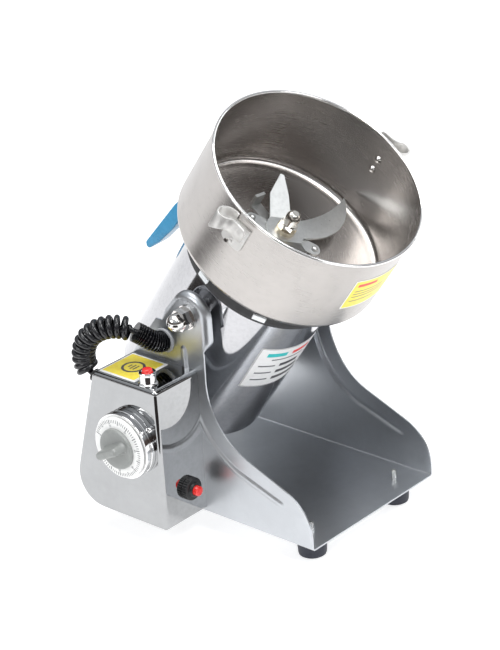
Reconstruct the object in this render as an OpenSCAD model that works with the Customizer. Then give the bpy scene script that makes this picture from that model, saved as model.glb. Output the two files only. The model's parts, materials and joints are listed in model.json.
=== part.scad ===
// Swing-type electric grain grinder: a tilting bowl and motor carried between the two cheeks of a folded tray stand.
// Millimetres. Origin on the table plane, straight below the pivot. +X to the machine's right, -Y to the pouring
// side, +Z up. The swinging half is drawn upright in its own axes (z along the motor) and tilted into place.

/* [Stand] */
// Outside width across the two side cheeks
stand_w = 184; // [176:1:200]
// Thickness of the stand's sheet
sheet_t = 1.5; // [1.2:0.1:2]
// Height of the underside of the tray above the table
tray_z = 22.6; // [18:0.2:30]
// Front edge of the tray, ahead of the pivot
tray_front = 141; // [130:1:150]
// Rear edge of the tray, behind the pivot
tray_rear = 112; // [105:1:130]
// Height of the pivot above the table
pivot_z = 228.6; // [224:0.2:240]
// Outer radius of the cheeks' rounded heads
head_r = 21; // [19:0.5:26]

/* [Swing] */
// Forward lean of the swinging half in the rest pose
lean = 35.6; // [20:0.1:50]
// Outer radius of the motor housing
housing_r = 77; // [72:0.5:79]
// Housing length below the pivot
housing_down = 142.9; // [130:0.1:150]

/* [Bowl] */
// Outer radius of the bowl wall
bowl_r = 104.5; // [98:0.5:108]
// Height of the bowl's underside above the pivot, along the motor axis
bowl_a0 = 64; // [60:0.5:70]
// Height of the rim above the pivot, along the motor axis
bowl_a1 = 160.7; // [150:0.1:170]
// Thickness of the bowl's sheet
bowl_t = 1.2; // [1:0.1:2]

/* [Control box] */
// Distance from the cheek to the outer face
box_d = 58; // [50:1:66]
// Underside of the box above the table
box_z0 = 27; // [25:1:30]
// Top of the box above the table
box_z1 = 175; // [165:1:180]
// Front face of the box, ahead of the pivot
box_front = 8; // [6:1:12]

/* [Cord] */
// Outer diameter of the coiled cord
coil_d = 23.5; // [20:0.5:25]
// Diameter of the cord itself
cord_d = 6.5; // [5:0.5:7]

/* [Hidden] */

$fn = 64;
eps = 0.01;
half_w = stand_w / 2;
fit = 0.05;

// Stand outline
front_slope = 22;
sweep_r = 75;
sweep_y = -92;
sweep_z = 165;
nose_r = 45;
lip_r = 7;
lip_d = 12;
lip_front = 25;
lip_rear = 30;
rear_angle = 49;
bead_in = 20;
bead_w = 5;
bead_h = 1;
foot_r = 15.2;
foot_x = half_w - 28.3;
foot_front = tray_front - 25.5;
foot_rear = tray_rear - 26;
stud_r = 2.5;

// Pivot hardware (M12)
bolt_r = 6;
nut_af = 19;
nut_t = 12;
nut_gap = 0.2;
dome_r = 8.6;

// Control box
box_x = -half_w - box_d;
box_t = 1.2;
box_corners = [[-box_front, box_z0, 4], [-box_front, box_z1, 8], [75.5, box_z1, 6], [118, box_z0, 30]];
rear_lean = atan((118 - 75.5) / (box_z1 - box_z0));
knob_y = 31;
knob_z = 113;
knob_turn = -27;
bezel_r = 33.5;
skirt_r = 31;
grip_r = 20.5;
switch_x = -139;
switch_y = 11;
breaker_x = -115;
breaker_z = 60;
button_r = 5;
timer_r = 3;
exit_x = -141;
exit_z = 166;
mains_x = -119;
mains_z = 98;
grommet_y = 32;
grommet_z = 196.5;

// Coiled cord route, then the boot's
coil_route = [[-141, 88, 169.3], [-142, 92, 180], [-142.5, 90, 193], [-140.5, 83, 206], [-135.5, 72, 214.5],
    [-128.5, 59.5, 217.5], [-121, 48, 215]];
boot_route = [[-94, 32, 196.5], [-100, 32.5, 197.8], [-107, 35.5, 201.5], [-114, 41, 208.5], [-118, 44.3, 212]];

// Motor
housing_t = 1.2;
handle_a = [13, 22];

// Bowl and blades
rim_r = 1.5;
corner_r = 8;
hook_route = [[-1, 2], [-2.4, 8], [-6, 13.4], [-12, 16.5], [-17.6, 15.2], [-20.2, 10.4], [-18.6, 5.4], [-14.6, 1.6],
    [-12.2, -3], [-11.6, -10], [-11.6, -17]];
seal_r = 14;
blade_t = 2;
paddle_a = 71;
carrier_a = 75;
sickle_a = 78;
point_a = 80.5;
nut_a = 87;
nut_top = 106.5;
shaft_r = 6;

// ---------- helpers ----------

function unit(v) = v / norm(v);

// Points of an arc about (cy, cz), from angle a0 to angle a1
function arc(cy, cz, r, a0, a1, n = 12) = [for (i = [0:n]) let (a = a0 + (a1 - a0) * i / n)
    [cy + r * cos(a), cz + r * sin(a)]];

// One corner of an outline, replaced by an arc of radius r tangent to both edges
function corner(a, b, c, r, n) = let (
    u = unit(a - b), v = unit(c - b), half = acos(u * v) / 2, run = r / tan(half), mid = unit(u + v),
    centre = b + mid * r / sin(half), p = b + u * run - centre, q = b + v * run - centre,
    a0 = atan2(p[1], p[0]), d = atan2(q[1], q[0]) - a0, turn = d > 180 ? d - 360 : d < -180 ? d + 360 : d)
    [for (i = [0:n]) centre + r * [cos(a0 + turn * i / n), sin(a0 + turn * i / n)]];

// An outline from corners given as [y, z, radius]
function rounded(pts, n = 10) = [for (i = [0:len(pts) - 1]) let (
    k = len(pts), a = pts[(i + k - 1) % k], b = pts[i], c = pts[(i + 1) % k])
    each (b[2] <= 0 ? [[b[0], b[1]]] : corner([a[0], a[1]], [b[0], b[1]], [c[0], c[1]], b[2], n))];

// The same corners moved inward by t (for an outline that runs clockwise)
function inset(pts, t) = [for (i = [0:len(pts) - 1]) let (
    k = len(pts), a = pts[(i + k - 1) % k], b = pts[i], c = pts[(i + 1) % k],
    u = unit([b[0] - a[0], b[1] - a[1]]), v = unit([c[0] - b[0], c[1] - b[1]]),
    nu = [u[1], -u[0]], nv = [v[1], -v[0]], m = unit(nu + nv), s = t / (m * nu))
    [b[0] + m[0] * s, b[1] + m[1] * s, max(b[2] - t, 0.5)]];

// Smooth point on a route at parameter u (Catmull-Rom through its points)
function spline(p, u) = let (
    k = len(p) - 1, i = min(floor(u), k - 1), f = u - i,
    a = p[max(i - 1, 0)], b = p[i], c = p[i + 1], d = p[min(i + 2, k)])
    0.5 * ((2 * b) + (c - a) * f + (2 * a - 5 * b + 4 * c - d) * f * f + (3 * b - a - 3 * c + d) * f * f * f);

// Tube of radius r along a route, rings of "sides" points
module swept_tube(route, r, rings, sides) {
    k = len(route) - 1;
    path = [for (i = [0:rings]) spline(route, k * i / rings)];
    dirs = [for (i = [0:rings]) unit(path[min(i + 1, rings)] - path[max(i - 1, 0)])];
    pts = [for (i = [0:rings]) let (s = unit(cross(dirs[i], [0.3, 1, 0.2])), w = cross(dirs[i], s))
        for (j = [0:sides - 1]) path[i] + r * (cos(360 * j / sides) * s + sin(360 * j / sides) * w)];
    polyhedron(pts, concat(
        [[for (j = [0:sides - 1]) j]],
        [[for (j = [sides - 1:-1:0]) rings * sides + j]],
        [for (i = [0:rings - 1]) for (j = [0:sides - 1]) let (n = (j + 1) % sides)
            [i * sides + n, i * sides + j, (i + 1) * sides + j, (i + 1) * sides + n]]));
}

// Extrude a (y, z) outline along X, from x0 over length t
module side_extrude(x0, t) translate([x0, 0, 0]) rotate([90, 0, 90]) linear_extrude(t) children();

// A cylinder along X
module x_rod(x0, t, r) translate([x0, 0, 0]) rotate([0, 90, 0]) cylinder(h = t, r = r);

// The swinging half's own axes: origin on the pivot, z along the motor
module swing() translate([0, 0, pivot_z]) rotate([lean, 0, 0]) children();

// The box's sloped rear face: origin at height z on the face, z axis straight out of it
module rear_face(x, z) translate([x, 75.5 + (box_z1 - z) * tan(rear_lean), z])
    rotate([-90 + rear_lean, 0, 0]) children();

// A tube along z
module ring(r_out, r_in, h) difference() {
    cylinder(h = h, r = r_out);
    translate([0, 0, -1]) cylinder(h = h + 2, r = r_in);
}

// ---------- stand ----------

function slope_z(y) = 83.3 + tan(front_slope) * (y + 94);

function cheek_outline() = let (
    top = -lip_front + pivot_z, front = -head_r, inner = -head_r + lip_r,
    tr = [sin(rear_angle), cos(rear_angle)], down = [cos(rear_angle), -sin(rear_angle)],
    rear_in = (head_r - lip_r) * tr + [0, pivot_z] + lip_rear * down,
    rear_out = rear_in + lip_r * tr)
    concat(
        [[-tray_front, tray_z]],
        corner([-tray_front, tray_z], [-tray_front, slope_z(-tray_front)], [-17, slope_z(-17)], nose_r, 10),
        corner([-tray_front, slope_z(-tray_front)], [-17, slope_z(-17)], [-18, top], sweep_r, 14),
        [[-18, top - 6], [front, top], [inner, top]],
        arc(0, pivot_z, head_r - lip_r, 180, 90 - rear_angle, 16),
        [rear_in, rear_out],
        corner(rear_out, [84, 163], [tray_rear, 62], 30, 6),
        [[tray_rear, 62], [tray_rear, tray_z]]);

// Cross-section of the formed lip: flat rim, quarter bend, short inward wall (x is radius, y is depth)
module lip_section() {
    translate([head_r - lip_r, lip_r]) intersection() {
        difference() { circle(lip_r); circle(lip_r - sheet_t); }
        translate([0, -lip_r]) square(lip_r);
    }
    translate([head_r - sheet_t, lip_r - eps]) square([sheet_t, lip_d - lip_r]);
}

// Left cheek's head lip: round the pivot, then straight runs down the front and the rear edge
module head_lip() translate([-half_w, 0, pivot_z]) rotate([90, 0, 90]) {
    rotate([0, 0, 90 - rear_angle]) rotate_extrude(angle = 90 + rear_angle) lip_section();
    translate([0, -lip_front, 0]) rotate([90, 0, 180]) linear_extrude(lip_front) lip_section();
    rotate([0, 0, 90 - rear_angle]) rotate([90, 0, 0]) linear_extrude(lip_rear) lip_section();
}

module bead(x0, t, w = bead_w) {
    side_extrude(x0, t) polygon(concat(
        arc(sweep_y, sweep_z, sweep_r + bead_in + w / 2, -2, -68, 14),
        [[-106, slope_z(-106) - bead_in - w / 2 - 2], [-106, slope_z(-106) - bead_in + w / 2 - 2]],
        arc(sweep_y, sweep_z, sweep_r + bead_in - w / 2, -68, -2, 14)));
    side_extrude(x0, t) translate([7.5 - w / 2, 150]) square([w, 46]);
}

module cheek() {
    side_extrude(-half_w, sheet_t) polygon(cheek_outline());
    head_lip();
    bead(-half_w - bead_h, bead_h + eps);
}

module stand() color("silver") difference() {
    union() {
        cheek();
        mirror([1, 0, 0]) cheek();
        translate([-half_w, -tray_front, tray_z]) cube([stand_w, tray_front + tray_rear, sheet_t]);
    }
    for (s = [0, 1]) mirror([s, 0, 0]) bead(-half_w + sheet_t - bead_h + 0.3, bead_h);
    translate([0, 0, pivot_z]) x_rod(-half_w - 5, stand_w + 10, bolt_r + fit);
    translate([0, grommet_y, grommet_z]) x_rod(-half_w - 5, 10, 7);
    translate([0, 50, 100]) x_rod(-half_w - 5, 10, 9);
    for (x = [-foot_x, foot_x], y = [-foot_front, foot_rear])
        translate([x, y, tray_z - 5]) cylinder(h = 10, r = stud_r + fit);
}

module at_feet() for (x = [-foot_x, foot_x], y = [-foot_front, foot_rear]) translate([x, y, 0]) children();

module rubber_feet() color([0.1, 0.11, 0.16]) at_feet() difference() {
    rotate_extrude() polygon([[0, 0], [foot_r - 2.2, 0], [foot_r - 1.6, 0.6], [foot_r, tray_z], [0, tray_z]]);
    translate([0, 0, 8]) cylinder(h = 30, r = stud_r);
}

module foot_studs() color("gainsboro") at_feet() difference() {
    union() {
        translate([0, 0, 8]) cylinder(h = tray_z + 2, r = stud_r);
        translate([0, 0, tray_z + 2 + 8]) cylinder(h = 1.5, r1 = stud_r, r2 = stud_r - 0.8);
    }
    translate([-0.5, -4, tray_z + 5]) cube([1, 8, 10]);
}

// ---------- control box ----------

module box_shape(x0, x1, t) side_extrude(x0, x1 - x0) polygon(rounded(t > 0 ? inset(box_corners, t) : box_corners));

module control_box_cover() color("lightgray") difference() {
    box_shape(box_x, -half_w, 0);
    box_shape(box_x + box_t, -half_w + 1, box_t);
    translate([0, knob_y, knob_z]) x_rod(box_x - 2, 6, 5);
    translate([switch_x, switch_y, box_z1 - 3]) cylinder(h = 6, r = 6);
    translate([breaker_x, -box_front - 3, breaker_z]) rotate([-90, 0, 0]) cylinder(h = 6, r = 6.5);
    rear_face(exit_x, exit_z) translate([0, 0, -3]) cylinder(h = 6, r = 5);
    rear_face(mains_x, mains_z) translate([0, 0, -3]) cylinder(h = 6, r = 7);
    for (y = [10, 74]) translate([-half_w - 12, y, box_z0 - 2]) cylinder(h = 5, r = 1.7);
    bead(-half_w - bead_h - 0.2, bead_h + 1, bead_w + 0.8);
}

module cover_screws() color("gainsboro") for (y = [10, 74]) translate([-half_w - 12, y, box_z0]) {
    translate([0, 0, -1.6]) cylinder(h = 1.6, r = 3.2);
    cylinder(h = 7, r = 1.5);
}

module timer_body() color("dimgray") difference() {
    union() {
        translate([box_x + 4, knob_y - 21, knob_z - 21]) cube([26, 42, 42]);
        translate([0, knob_y, knob_z]) x_rod(box_x + 1.3, 3, 12);
    }
    translate([0, knob_y, knob_z]) x_rod(box_x - 1, 24, timer_r + fit);
}

module dial_bezel() color("lightgray") translate([0, knob_y, knob_z]) difference() {
    x_rod(box_x - 12, 12, bezel_r);
    difference() {
        x_rod(box_x - 7, 1.6, bezel_r + 1);
        x_rod(box_x - 8, 4, bezel_r - 1.6);
    }
    x_rod(box_x - 13, 14, 8);
}

module dial_pointer() color("gainsboro") translate([box_x, 0.5, 135.5]) rotate([0, -90, 0]) {
    cylinder(h = 3, r = 1.6);
    translate([0, 0, 3]) intersection() {
        sphere(2.8);
        translate([-4, -4, 0]) cube(8);
    }
}

module timer_shaft() color("silver") translate([0, knob_y, knob_z]) x_rod(box_x - 20, 42, timer_r);

module dial_skirt() color("whitesmoke") translate([box_x - 12.5, knob_y, knob_z]) rotate([0, -90, 0]) difference() {
    rotate_extrude() polygon([[timer_r, 0], [skirt_r, 0], [skirt_r, 3], [skirt_r - 1.2, 4.4], [timer_r, 4.4]]);
    translate([0, 0, -1]) cylinder(h = 8, r = timer_r);
}

module knob_grip() color([0.6, 0.6, 0.58]) translate([box_x - 16.9, knob_y, knob_z]) rotate([0, -90, 0])
    difference() {
    union() {
        rotate_extrude() polygon([[0, 0], [grip_r, 0], [grip_r, 2.8], [grip_r - 1.2, 4], [0, 4]]);
        rotate([0, 0, 90 - knob_turn]) translate([0, 0, 4 - eps]) linear_extrude(13.5) {
            square([9, 26], center = true);
            for (s = [-13, 13]) translate([0, s]) circle(4.5);
        }
    }
    translate([0, 0, -1]) cylinder(h = 4.1, r = timer_r);
}

module switch_bezel() color("lightgray") translate([switch_x, switch_y, box_z1]) difference() {
    rotate_extrude() polygon([[0, 0], [9.4, 0], [9.4, 1.4], [8.2, 2.4], [7.8, 11], [8.4, 12.5], [7.8, 13.2],
        [0, 13.2]]);
    translate([0, 0, -1]) cylinder(h = 20, r = button_r + fit);
}

module switch_button() color("red") translate([switch_x, switch_y, box_z1 + 4]) {
    cylinder(h = 11.2, r = button_r);
    translate([0, 0, 11.2]) cylinder(h = 0.8, r1 = button_r, r2 = button_r - 0.8);
}

module switch_body() color("dimgray") translate([switch_x, switch_y, box_z1]) {
    translate([0, 0, -6]) cylinder(h = 6, r = 5.9);
    translate([-7, -7, -26]) cube([14, 14, 20]);
}

module breaker_axis() translate([breaker_x, -box_front, breaker_z]) rotate([90, 0, 0]) children();

module breaker_nut() color([0.08, 0.08, 0.09]) breaker_axis() difference() {
    union() {
        cylinder(h = 5.5, r = 11.5);
        translate([0, 0, 5.5]) cylinder(h = 1, r1 = 11.5, r2 = 10.5);
        translate([0, 0, 6.5]) cylinder(h = 2.5, r = 7);
    }
    translate([0, 0, -1]) cylinder(h = 12, r = button_r + fit);
}

module breaker_button() color("red") breaker_axis() {
    translate([0, 0, 2.5]) cylinder(h = 10.7, r = button_r);
    translate([0, 0, 13.2]) cylinder(h = 0.8, r1 = button_r, r2 = button_r - 0.8);
}

module breaker_body() color("dimgray") breaker_axis() {
    translate([0, 0, -8]) cylinder(h = 8, r = 6.4);
    translate([-8, -16, -34]) cube([16, 32, 26]);
}

module terminal_block() color("beige") difference() {
    translate([-half_w - 22, 62, 34]) cube([22, 12, 46]);
    for (z = [40:11:76]) translate([-half_w - 11, 56, z]) rotate([-90, 0, 0]) cylinder(h = 12, r = 2);
}

module box_label() color("gold") translate([-144.5, 24, box_z1]) cube([47, 46.5, 0.3]);

module cord_gland() color([0.07, 0.07, 0.08]) rear_face(exit_x, exit_z) {
    translate([0, 0, -4]) ring(4.9, cord_d / 2, 4);
    ring(6.6, cord_d / 2, 2.4);
}

module mains_gland() color([0.07, 0.07, 0.08]) rear_face(mains_x, mains_z) {
    translate([0, 0, -5]) ring(6.9, 3.8, 5);
    ring(10, 3.8, 3);
    translate([0, 0, 3]) difference() {
        cylinder(h = 9, r1 = 7.5, r2 = 6);
        translate([0, 0, -1]) cylinder(h = 12, r = 3.8);
    }
}

module plate_grommet() color("gray") translate([-half_w, grommet_y, grommet_z]) rotate([0, -90, 0]) {
    ring(12.5, 4, 2);
    translate([0, 0, -sheet_t - 1.5]) ring(6.9, 4, sheet_t + 1.5);
}

module cord_tail() color([0.05, 0.05, 0.06]) rear_face(exit_x, exit_z) translate([0, 0, 2.4])
    cylinder(h = 7.2, r = cord_d / 2 - 0.1, $fn = 12);

module coil_cord() color([0.05, 0.05, 0.06]) swept_tube(coil_route, coil_d / 2, 26, 12);

module cord_boot() color([0.05, 0.05, 0.06]) swept_tube(boot_route, 10.5, 12, 12);

// ---------- swinging half ----------

module motor_housing() color("lightgray") swing() difference() {
    translate([0, 0, -housing_down]) ring(housing_r, housing_r - housing_t, housing_down + 36);
    x_rod(-housing_r - 5, 2 * housing_r + 10, bolt_r);
    for (a = handle_a) translate([0, housing_r - 5, a]) rotate([-90, 0, 0]) cylinder(h = 10, r = 2);
}

module housing_cap() color("gray") swing() translate([0, 0, -housing_down]) difference() {
    cylinder(h = 2, r = housing_r - housing_t);
    for (k = [0:11], r = [30, 46, 62]) rotate([0, 0, k * 30]) translate([r, 0, -1]) cylinder(h = 4, r = 3.2);
}

module pivot_sides() for (s = [0, 1]) mirror([s, 0, 0]) children();

module pivot_bolts() color("silver") swing() pivot_sides() x_rod(-half_w - 11, 33, bolt_r);

module pivot_nuts() color("gainsboro") swing() pivot_sides() translate([-half_w - nut_gap, 0, 0]) rotate([0, -90, 0])
    difference() {
        union() {
            cylinder(h = 2, r = 12);
            translate([0, 0, 2]) cylinder(h = nut_t - 2, r = nut_af / sqrt(3), $fn = 6);
            translate([0, 0, nut_t]) cylinder(h = 3.5, r = dome_r);
            translate([0, 0, nut_t + 3.5]) intersection() {
                sphere(dome_r);
                translate([-10, -10, 0]) cube(20);
            }
        }
        translate([0, 0, -1]) cylinder(h = 12 - nut_gap, r = bolt_r);
    }

module pivot_spacers() color("silver") swing() pivot_sides() {
    translate([-half_w + sheet_t + nut_gap, 0, 0]) rotate([0, 90, 0])
        ring(10, bolt_r, half_w - sheet_t - nut_gap - housing_r);
    intersection() {
        translate([-housing_r + housing_t, 0, 0]) rotate([0, 90, 0]) ring(12, bolt_r, 6);
        translate([0, 0, -20]) cylinder(h = 40, r = housing_r - housing_t);
    }
}

module motor_stator() color("slategray") swing() translate([0, 0, -72]) difference() {
    cylinder(h = 59, r = housing_r - housing_t);
    translate([0, 0, -1]) cylinder(h = 64, r = 33);
    for (k = [0:3]) rotate([0, 0, 45 + 90 * k]) translate([64, 0, -1]) cylinder(h = 64, r = 9);
}

module field_windings() color("peru") swing() for (a = [-84, -13]) translate([0, 0, a]) ring(62, 36, 12);

module brush_holders() color("darkgoldenrod") swing() for (k = [0, 1]) rotate([0, 0, 180 * k])
    translate([-7, 21, -98]) cube([14, 26, 10]);

module lower_bracket() color("lightgray") swing() difference() {
    union() {
        translate([0, 0, -122]) ring(housing_r - housing_t, housing_r - 9, 12);
        translate([0, 0, -122]) cylinder(h = 12, r = 22);
        for (k = [0:2]) rotate([0, 0, 120 * k]) translate([15, -8, -120]) cube([57, 16, 8]);
    }
    translate([0, 0, -125]) cylinder(h = 20, r = 15);
}

module lower_bearing() color("silver") swing() translate([0, 0, -120]) ring(15, shaft_r + fit, 9);

module upper_bracket() color("lightgray") swing() difference() {
    union() {
        translate([0, 0, 26]) cylinder(h = 10, r = housing_r - housing_t);
        translate([0, 0, 36]) cylinder(h = 4, r = 82);
        translate([0, 0, 40]) cylinder(h = bowl_a0 - 40, r = 30);
    }
    translate([0, 0, 20]) cylinder(h = 50, r = 16);
    for (k = [0:5]) rotate([0, 0, 60 * k + 30]) translate([56, 0, 20]) cylinder(h = 30, r = 5);
}

module upper_bearing() color("silver") swing() translate([0, 0, 28]) ring(16, shaft_r + fit, 10);

module bowl_collar() color([0.07, 0.07, 0.08]) swing() translate([0, 0, 40]) ring(83, 60, bowl_a0 - 40);

module collar_lugs() color("white") swing() for (k = [0:7]) rotate([0, 0, -97 + 45 * k])
    translate([83.15, -6.5, 41]) cube([2, 13, 6]);

module bowl() color("lightgray") swing() difference() {
    rotate_extrude($fn = 96) difference() {
        union() {
            translate([0, bowl_a0]) square([bowl_r - corner_r, corner_r]);
            translate([0, bowl_a0 + corner_r]) square([bowl_r, bowl_a1 - bowl_a0 - corner_r - rim_r]);
            translate([bowl_r - corner_r, bowl_a0 + corner_r]) circle(corner_r);
            translate([bowl_r, bowl_a1 - rim_r]) circle(rim_r);
        }
        translate([0, bowl_a0 + bowl_t]) square([bowl_r - corner_r, 200]);
        translate([0, bowl_a0 + corner_r]) square([bowl_r - bowl_t, 200]);
        translate([bowl_r - corner_r, bowl_a0 + corner_r]) circle(corner_r - bowl_t);
    }
    translate([0, 0, bowl_a0 - 1]) cylinder(h = 4, r = seal_r);
    for (k = [0, 1], a = [122, 135.5]) rotate([0, 0, 180 * k]) translate([0, 0, a]) x_rod(bowl_r - 6, 12, 2);
}

// A strip of thickness t along an open line of points
function strip(p, t) = let (k = len(p) - 1, n = [for (i = [0:k]) let (
    d = unit(p[min(i + 1, k)] - p[max(i - 1, 0)])) [d[1], -d[0]] * t / 2])
    concat([for (i = [0:k]) p[i] + n[i]], [for (i = [k:-1:0]) p[i] - n[i]]);

// A bent-sheet hook on the bowl wall: a foot on the wall, a wide bend at one side, and a band standing off the wall
module lid_hook() translate([0, 0, 121]) difference() {
    line = [for (i = [0:30]) spline(hook_route, (len(hook_route) - 1) * i / 30)];
    union() {
        translate([-bowl_r - 2, -16, 0]) cube([4, 24, 28]);
        translate([-bowl_r, 0, 20]) linear_extrude(15) polygon(strip(line, 2));
    }
    cylinder(h = 60, r = bowl_r + 0.2);
    for (a = [1, 14.5]) translate([0, 0, a]) x_rod(-bowl_r - 6, 12, 2);
}

module lid_hook_left() color("silver") swing() lid_hook();

module lid_hook_right() color("silver") swing() rotate([0, 0, 180]) lid_hook();

module hook_rivets() color("gainsboro") swing() for (k = [0, 1], a = [122, 135.5]) rotate([0, 0, 180 * k])
    translate([bowl_r - bowl_t, 0, a]) rotate([0, -90, 0]) {
        translate([0, 0, -bowl_t - 3]) cylinder(h = bowl_t + 3, r = 2);
        intersection() {
            translate([0, 0, -1.5]) sphere(4);
            translate([-5, -5, 0.1]) cube(10);
        }
    }

module bowl_handle() color("deepskyblue") swing() difference() {
    side_extrude(-8, 16) polygon(rounded([[housing_r + 0.2, 30, 1], [96, 30, 5], [106, 20, 8], [110, 2, 20],
        [118, -66, 2], [114, -70, 3], [104, -50, 14], [98, -22, 20], [96, 2, 12], [88, 8, 6],
        [housing_r + 0.2, 8, 1]]));
    for (a = handle_a) translate([0, housing_r - 5, a]) rotate([-90, 0, 0]) cylinder(h = 14, r = 2);
}

module handle_screws() color("gainsboro") swing() for (a = handle_a) translate([0, housing_r - 8, a])
    rotate([-90, 0, 0]) cylinder(h = 14, r = 1.9);

module wrap(r, t, from, to, a0, a1) rotate([0, 0, from]) rotate_extrude(angle = to - from)
    translate([r, a0]) square([t, a1 - a0]);

module bowl_label() color("gold") swing() wrap(bowl_r, 0.3, -108, -76, 95.5, 135.5);

module rating_plate() color("white") swing() wrap(housing_r, 0.3, -125.4, -60, -61.5, -2);

// ---------- rotor ----------

module rotor_shaft() color("silver") swing() translate([0, 0, -126]) cylinder(h = nut_a + 12 + 126, r = shaft_r);

module armature_core() color("slategray") swing() translate([0, 0, -68]) difference() {
    ring(32, shaft_r, 56);
    for (k = [0:11]) rotate([0, 0, 30 * k]) translate([29, -1.5, -1]) cube([5, 3, 60]);
}

module commutator() color("peru") swing() translate([0, 0, -100]) ring(20, shaft_r, 18);

module cooling_fan() color("dimgray") swing() translate([0, 0, 6]) difference() {
    union() {
        cylinder(h = 2, r = 60);
        cylinder(h = 14, r = 12);
        for (k = [0:9]) rotate([0, 0, 36 * k]) translate([14, -1, 1]) cube([44, 2, 13]);
    }
    translate([0, 0, -1]) cylinder(h = 20, r = shaft_r);
}

module shaft_seal() color([0.1, 0.1, 0.1]) swing() translate([0, 0, 58]) {
    ring(seal_r, shaft_r + 0.4, 10);
}

// Two-armed lower blade whose ends are turned up as paddles
module paddle_blade() color("silver") swing() rotate([0, 0, 86]) difference() {
    union() {
        translate([-42, -6, paddle_a]) cube([84, 12, 3]);
        for (s = [-1, 1]) translate([s * 42 - 1.5, -6, paddle_a]) cube([3, 12, 16]);
        translate([0, 0, paddle_a]) cylinder(h = 3, r = 15);
    }
    translate([0, 0, 60]) cylinder(h = 30, r = shaft_r);
}

// Flat bar that carries the rivets under the sickle blades
module blade_carrier() color("silver") swing() {
    translate([0, 0, carrier_a]) rotate([0, 0, -60]) difference() {
        union() {
            translate([-32, -7, 0]) cube([64, 14, 2]);
            for (s = [-32, 32]) translate([s, 0, 0]) cylinder(h = 2, r = 7);
        }
        translate([0, 0, -1]) cylinder(h = 4, r = shaft_r);
    }
    for (k = [0, 1]) rotate([0, 0, 180 * k - 60]) translate([33, 0, carrier_a + 2]) intersection() {
        sphere(3.4);
        translate([-5, -5, 0]) cube(10);
    }
}

module blade_arm() difference() {
    intersection() {
        translate([45, 30]) circle(54.5, $fn = 96);
        translate([-2, -30]) square([100, 60]);
    }
    translate([57, 110]) circle(112, $fn = 128);
}

module sickle_blade() color("silver") swing() translate([0, 0, sickle_a]) difference() {
    linear_extrude(blade_t) {
        circle(17);
        for (k = [0, 180]) rotate(k) blade_arm();
    }
    translate([0, 0, -1]) cylinder(h = 4, r = shaft_r);
}

module pointed_blade() color("silver") swing() translate([0, 0, point_a]) difference() {
    union() {
        cylinder(h = blade_t, r = 19);
        for (k = [0, 180]) rotate([0, 0, 57 + k]) translate([15, 0, 0]) rotate([0, -21, 0])
            linear_extrude(blade_t) polygon([[-1, -9], [24, -7.5], [44, -3.5], [45, 0], [24, 12], [-1, 13]]);
    }
    translate([0, 0, -5]) cylinder(h = 12, r = shaft_r);
}

module blade_spacers() color("gray") swing() {
    translate([0, 0, paddle_a + 3]) ring(11, shaft_r, carrier_a - paddle_a - 3);
    translate([0, 0, carrier_a + 2]) ring(11, shaft_r, sickle_a - carrier_a - 2);
    translate([0, 0, sickle_a + blade_t]) ring(11, shaft_r, point_a - sickle_a - blade_t);
}

module blade_collar() color("darkgoldenrod") swing() translate([0, 0, point_a + blade_t])
    ring(9.6, shaft_r, nut_a - point_a - blade_t);

module blade_nut() color("gainsboro") swing() translate([0, 0, nut_a]) difference() {
    union() {
        cylinder(h = 6, r = 8.7, $fn = 6);
        translate([0, 0, 6]) cylinder(h = 7, r = 7.4);
        translate([0, 0, 13]) intersection() {
            sphere(7.4);
            translate([-8, -8, 0]) cube([16, 16, nut_top - nut_a - 13]);
        }
    }
    translate([0, 0, -1]) cylinder(h = 13, r = shaft_r);
}

stand();
rubber_feet();
foot_studs();
control_box_cover();
cover_screws();
timer_body();
dial_bezel();
dial_pointer();
switch_bezel();
switch_body();
breaker_body();
breaker_nut();
terminal_block();
box_label();
cord_gland();
cord_tail();
coil_cord();
cord_boot();
plate_grommet();
mains_gland();
motor_housing();
housing_cap();
pivot_bolts();
pivot_nuts();
pivot_spacers();
motor_stator();
field_windings();
brush_holders();
lower_bracket();
lower_bearing();
upper_bracket();
upper_bearing();
bowl_collar();
collar_lugs();
bowl();
lid_hook_left();
lid_hook_right();
hook_rivets();
bowl_handle();
handle_screws();
bowl_label();
rating_plate();
shaft_seal();
rotor_shaft();
armature_core();
commutator();
cooling_fan();
paddle_blade();
blade_carrier();
sickle_blade();
pointed_blade();
blade_spacers();
blade_collar();
blade_nut();
timer_shaft();
dial_skirt();
knob_grip();
switch_button();
breaker_button();
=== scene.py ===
"""Studio scene of a swing-type grain grinder: bowl and motor tilt between the cheeks of a tray stand.

Lengths in the classes below are millimetres, turned into metres where a mesh is made. The stand's own
axes are the model's: +X right, -Y to the pouring side, +Z up. The swinging half is built upright in
body axes (x, v to the rear, a along the motor) and laid into place by its tilt.
"""

import json
import logging
from dataclasses import dataclass, field
from enum import Enum
from math import acos, atan2, copysign, cos, exp, hypot, inf, pi, radians, sin, sqrt, tan
from typing import Callable, Optional, Sequence, Union

import bmesh
import bpy
from mathutils import Matrix, Vector


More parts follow.
